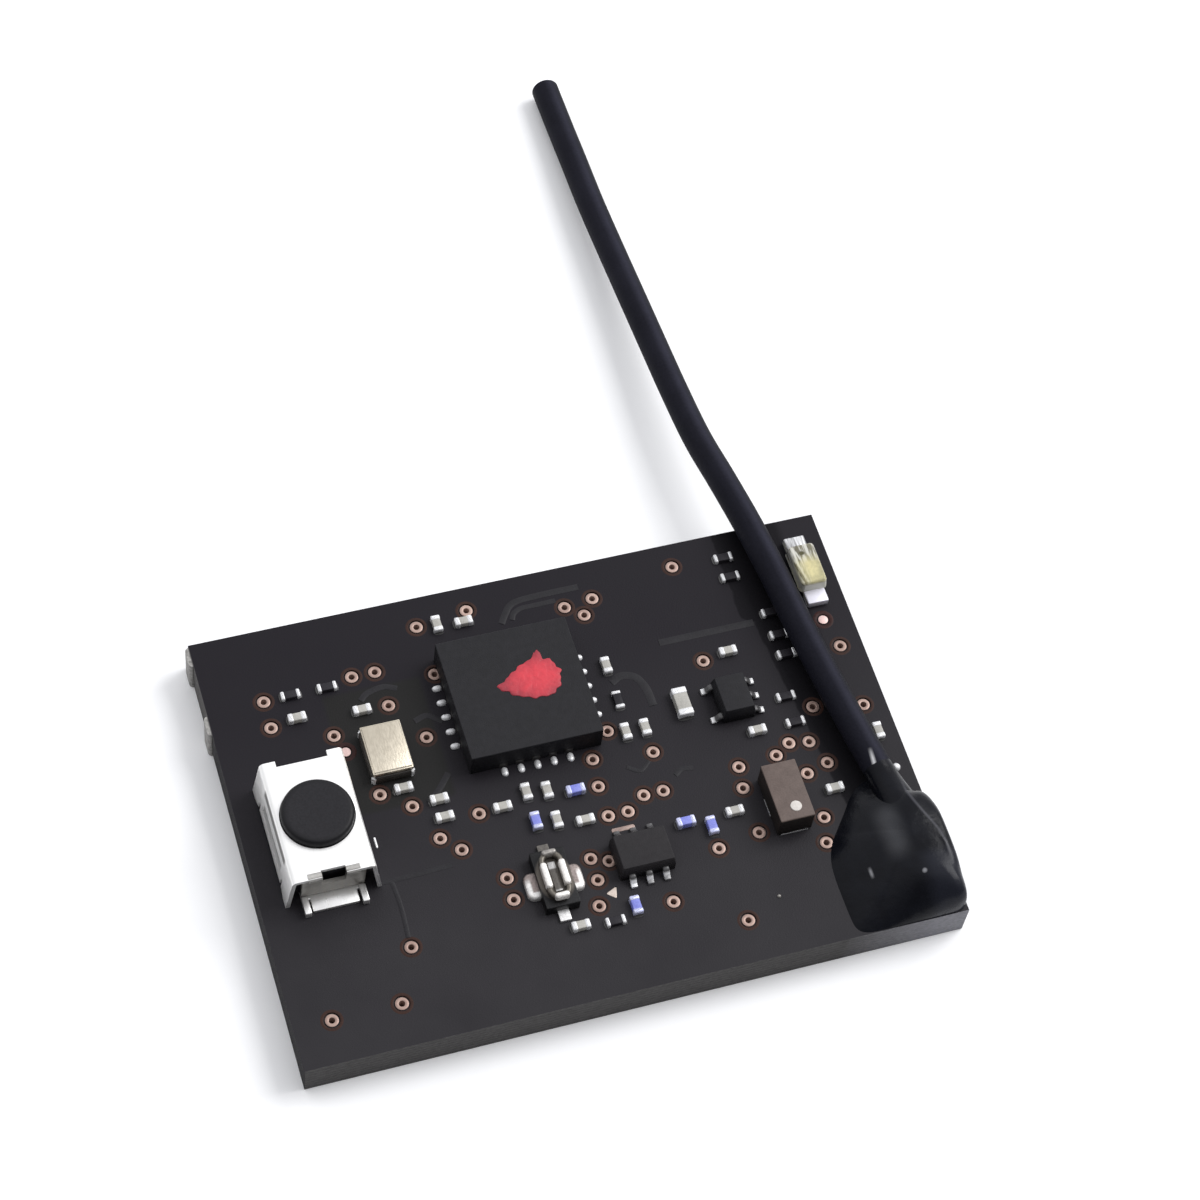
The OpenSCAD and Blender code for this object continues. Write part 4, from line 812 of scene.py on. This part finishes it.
# Aerial: a wire in a smooth black sleeve, soldered to the corner of the board. It lies on the resistors
# beside it, runs off the board's back edge and down to the table. Its free end is cut square, with a rim
# that is slightly rounded.
sleeve_black, place = material("sleeve_black", Specular_IOR_Level=0.05)
x, y, z = place.xyz()
grain = place.noise(0.08)
across = place.node("Attribute", {"attribute_name": "across"}, out=2)
# Painted light and shade: the sleeve is painted half as bright on its left side and darker still along its
# right edge, leaving a lit band just right of its middle.
lit = across.ramp(-0.8, -0.35, 0.25, 1.0) * across.ramp(-0.25, 0.2, 1.0, 0.5)
tone = (grain * 0.5 + place.noise(0.9) * 0.5).mix((0.017, 0.017, 0.026), (0.027, 0.027, 0.041))
tone = lit.mix((0.0, 0.0, 0.0), tone)
# Painted highlight: a short pale glint along the top of the sleeve, near the glue.
painted_sleeve_glint = abs(x - 8.41 + (y + 2.17) * -0.05).ramp(0.0, 0.08, 0.7, 0.0)
painted_sleeve_glint = painted_sleeve_glint * abs(y + 2.17).ramp(0.1, 0.45, 1.0, 0.0) * z.ramp(2.0, 2.05)
feed(place, Base_Color=painted_sleeve_glint.mix(tone, (0.85, 0.85, 0.87)), Roughness=grain * 0.14 + 0.45,
     Normal=bump(grain, 0.003))
route = smooth_line([
    (8.96, -4.6, 1.7), (8.68, -2.8, 1.75), (8.4, -1, 1.8), (8.14, 1, 1.8), (7.92, 3, 1.8), (7.75, 5, 1.8),
    (7.57, 6.8, 1.75), (7.35, 8.6, 1.646), (7.15, 10.4, 1.438), (7.05, 12.4, 1.282), (7, 14.4, 1.126),
    (6.95, 16.5, 0.97), (6.9, 18.6, 0.814), (6.85, 20.6, 0.71), (6.85, 22.6, 0.606), (6.85, 24.4, 0.502),
    (6.85, 26, 0.45)], 12)
wire_r, wire_sides = 0.45, 28
tube = carried(route, circle(wire_r, wire_sides)[0])
# The cut end: over a quarter turn its last rings draw in by 0.3 of the radius and run on by 0.13 to the end.
turn = np.linspace(0, np.pi / 2, 6)[:, None, None]
way = (route[-1] - route[-2]) / np.linalg.norm(route[-1] - route[-2])
tip = route[-1] + (tube[-1] - route[-1]) * (1 - 0.3 * (1 - np.cos(turn))) + way * 0.13 * (np.sin(turn) - 1)
sleeve = np.concatenate([tube[:-2], tip])
aerial = solid("aerial_tube", sleeve[None], sleeve_black)
across = np.tile(circle(1, wire_sides)[0][:, 0], len(sleeve))
aerial.data.attributes.new("across", "FLOAT", "POINT").data.foreach_set("value", across)
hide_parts("aerial_sleeve")
(route / 1000).tolist()
dress("aerial_core", copper)
dress("aerial_solder", tin)

# Glue: a heap of black glue that holds the aerial to the corner and covers its joint. It set with a smooth
# skin, steep along the board's right edge and low on its left side, with a ridge over the wire, a crest along
# the right shoulder and a lobe in front. Its neck draws up round the wire.
glue_black, place = material("glue_black", Specular_IOR_Level=0.13)
x, y, z = place.xyz()
lump = place.noise(0.5)
# Painted highlights on the glue: a pale line along the right shoulder, a lighter front right lobe, a sheen
# along the ridge and two glints.
crest = abs(x - (-3.4 - y).ramp(0.0, 1.9, 8.98, 9.5, smooth=True)).ramp(0.0, 0.07, 0.5, 0.0)
crest = crest * abs(y + 4.4).ramp(0.9, 1.7, 1.0, 0.0) * z.ramp(1.8, 1.9)
tone = (lump * 0.5 + place.noise(3.0) * 0.5).mix((0.0024, 0.0026, 0.0040), (0.0060, 0.0066, 0.0100))
tone = ((x - 8.5).ramp(0.0, 0.4) * (-5.3 - y).ramp(0.0, 0.3)).mix(tone, (0.012, 0.013, 0.019))
sheen = abs(x - 8.15).ramp(0.0, 0.5, 1.0, 0.0, smooth=True)
sheen = sheen * abs(y + 4.45).ramp(0.4, 1.1, 1.0, 0.0, smooth=True)
tone = sheen.mix(tone, (0.042, 0.043, 0.048))
glint = abs(x - 7.24).ramp(0.0, 0.06, 0.5, 0.0)
glint = glint * abs(y + 5.42).ramp(0.05, 0.2, 1.0, 0.0)
glint = glint.maths("MAXIMUM", apart(x, y, (8.6, -5.95)).ramp(0.0, 0.007, 0.45, 0.0))
tone = glint.mix(tone, (0.5, 0.5, 0.53))
feed(place, Base_Color=crest.mix(tone, (0.11, 0.11, 0.125)), Roughness=lump * 0.12 + 0.2,
     Normal=bump(lump, 0.01))
foot = smooth_line([
    (8.5, -2.3), (8.05, -2.36), (7.66, -2.68), (7.32, -3.12), (6.95, -3.58), (6.62, -4.02), (6.42, -4.55),
    (6.36, -5.1), (6.36, -5.7), (6.37, -6.25), (6.43, -6.72), (6.7, -6.93), (7.3, -6.97), (8.2, -6.97),
    (9.0, -6.97), (9.55, -6.94), (9.74, -6.75), (9.77, -6.1), (9.77, -5.4), (9.77, -4.6), (9.76, -3.8),
    (9.62, -3.35), (9.3, -3.12), (8.98, -2.75)], 6, closed=True)
# Each point of the foot has its own powers: slow on the left side, steep at the wall along the right edge.
side = np.clip((9.5 - foot[:, 0]) / 2.7, 0, 1)
wall = np.clip((foot[:, 0] - 9.2) / 0.5, 0, 1) * np.exp(-((foot[:, 1] + 4.95) / 1.15) ** 4)
draw = (0.45 + 1.05 * side) * (1 - wall) + 0.2 * wall
rise = (0.6 + 1.3 * side) * (1 - wall) + 0.3 * wall
taper = np.exp(-((foot[:, 0] - 8.5) / 0.8) ** 2 - ((foot[:, 1] + 2.4) / 0.6) ** 2)
peak, peak_h = (8.65, -4.7), 1.2
heaped = heap(foot, peak, peak_h, draw + 0.3 * taper, rise + 0.9 * taper, 40)
x, y, z = np.moveaxis(heaped, -1, 0)
ridge = 0.2 * np.exp(-((x - 8.6 - 0.155 * (-2.4 - y)) / 0.42) ** 2) / (1 + np.exp((-5.15 - y) / 0.16))
lobe = 0.1 * np.exp(-((x - 8.75) / 0.7) ** 2 - ((y + 6.05) / 0.45) ** 2)
shoulder = np.interp(-y, [2.7, 3.6, 4.5, 5.2, 6.0], [8.96, 9.0, 9.2, 9.48, 9.5])
crest = 0.05 * np.exp(-((x - shoulder) / 0.08) ** 2 - ((y + 4.4) / 1.2) ** 4)
z = z + (ridge + lobe + crest) * np.clip(z / 0.8, 0, 1)
# A soft cap: the lower of the height and the level, rounded off between them by a logarithm.
level, soft = 1.26, 0.1
heaped[..., 2] = level - soft * np.log1p(np.exp((level - z) / soft))
glue = solid("glue_heap", heaped[None] + (0, 0, board_top), glue_black, sharp=80)
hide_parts("glue")
# The neck: rings of the sleeve, grown by a curve that swells near the heap and closes on the sleeve.
buried = slice(2, 17)
middle = route[buried, None]
inward = np.linspace(1, 0, len(middle))[:, None, None]
grow = 1.005 + 2.2 * inward ** 2.4 * (1 - inward)
neck = middle + (tube[buried] - middle) * grow
neck[..., 2] = np.maximum(neck[..., 2], board_top)
solid("glue_neck", neck[None], glue_black, sharp=80)

bpy.context.view_layer.update()
low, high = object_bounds()
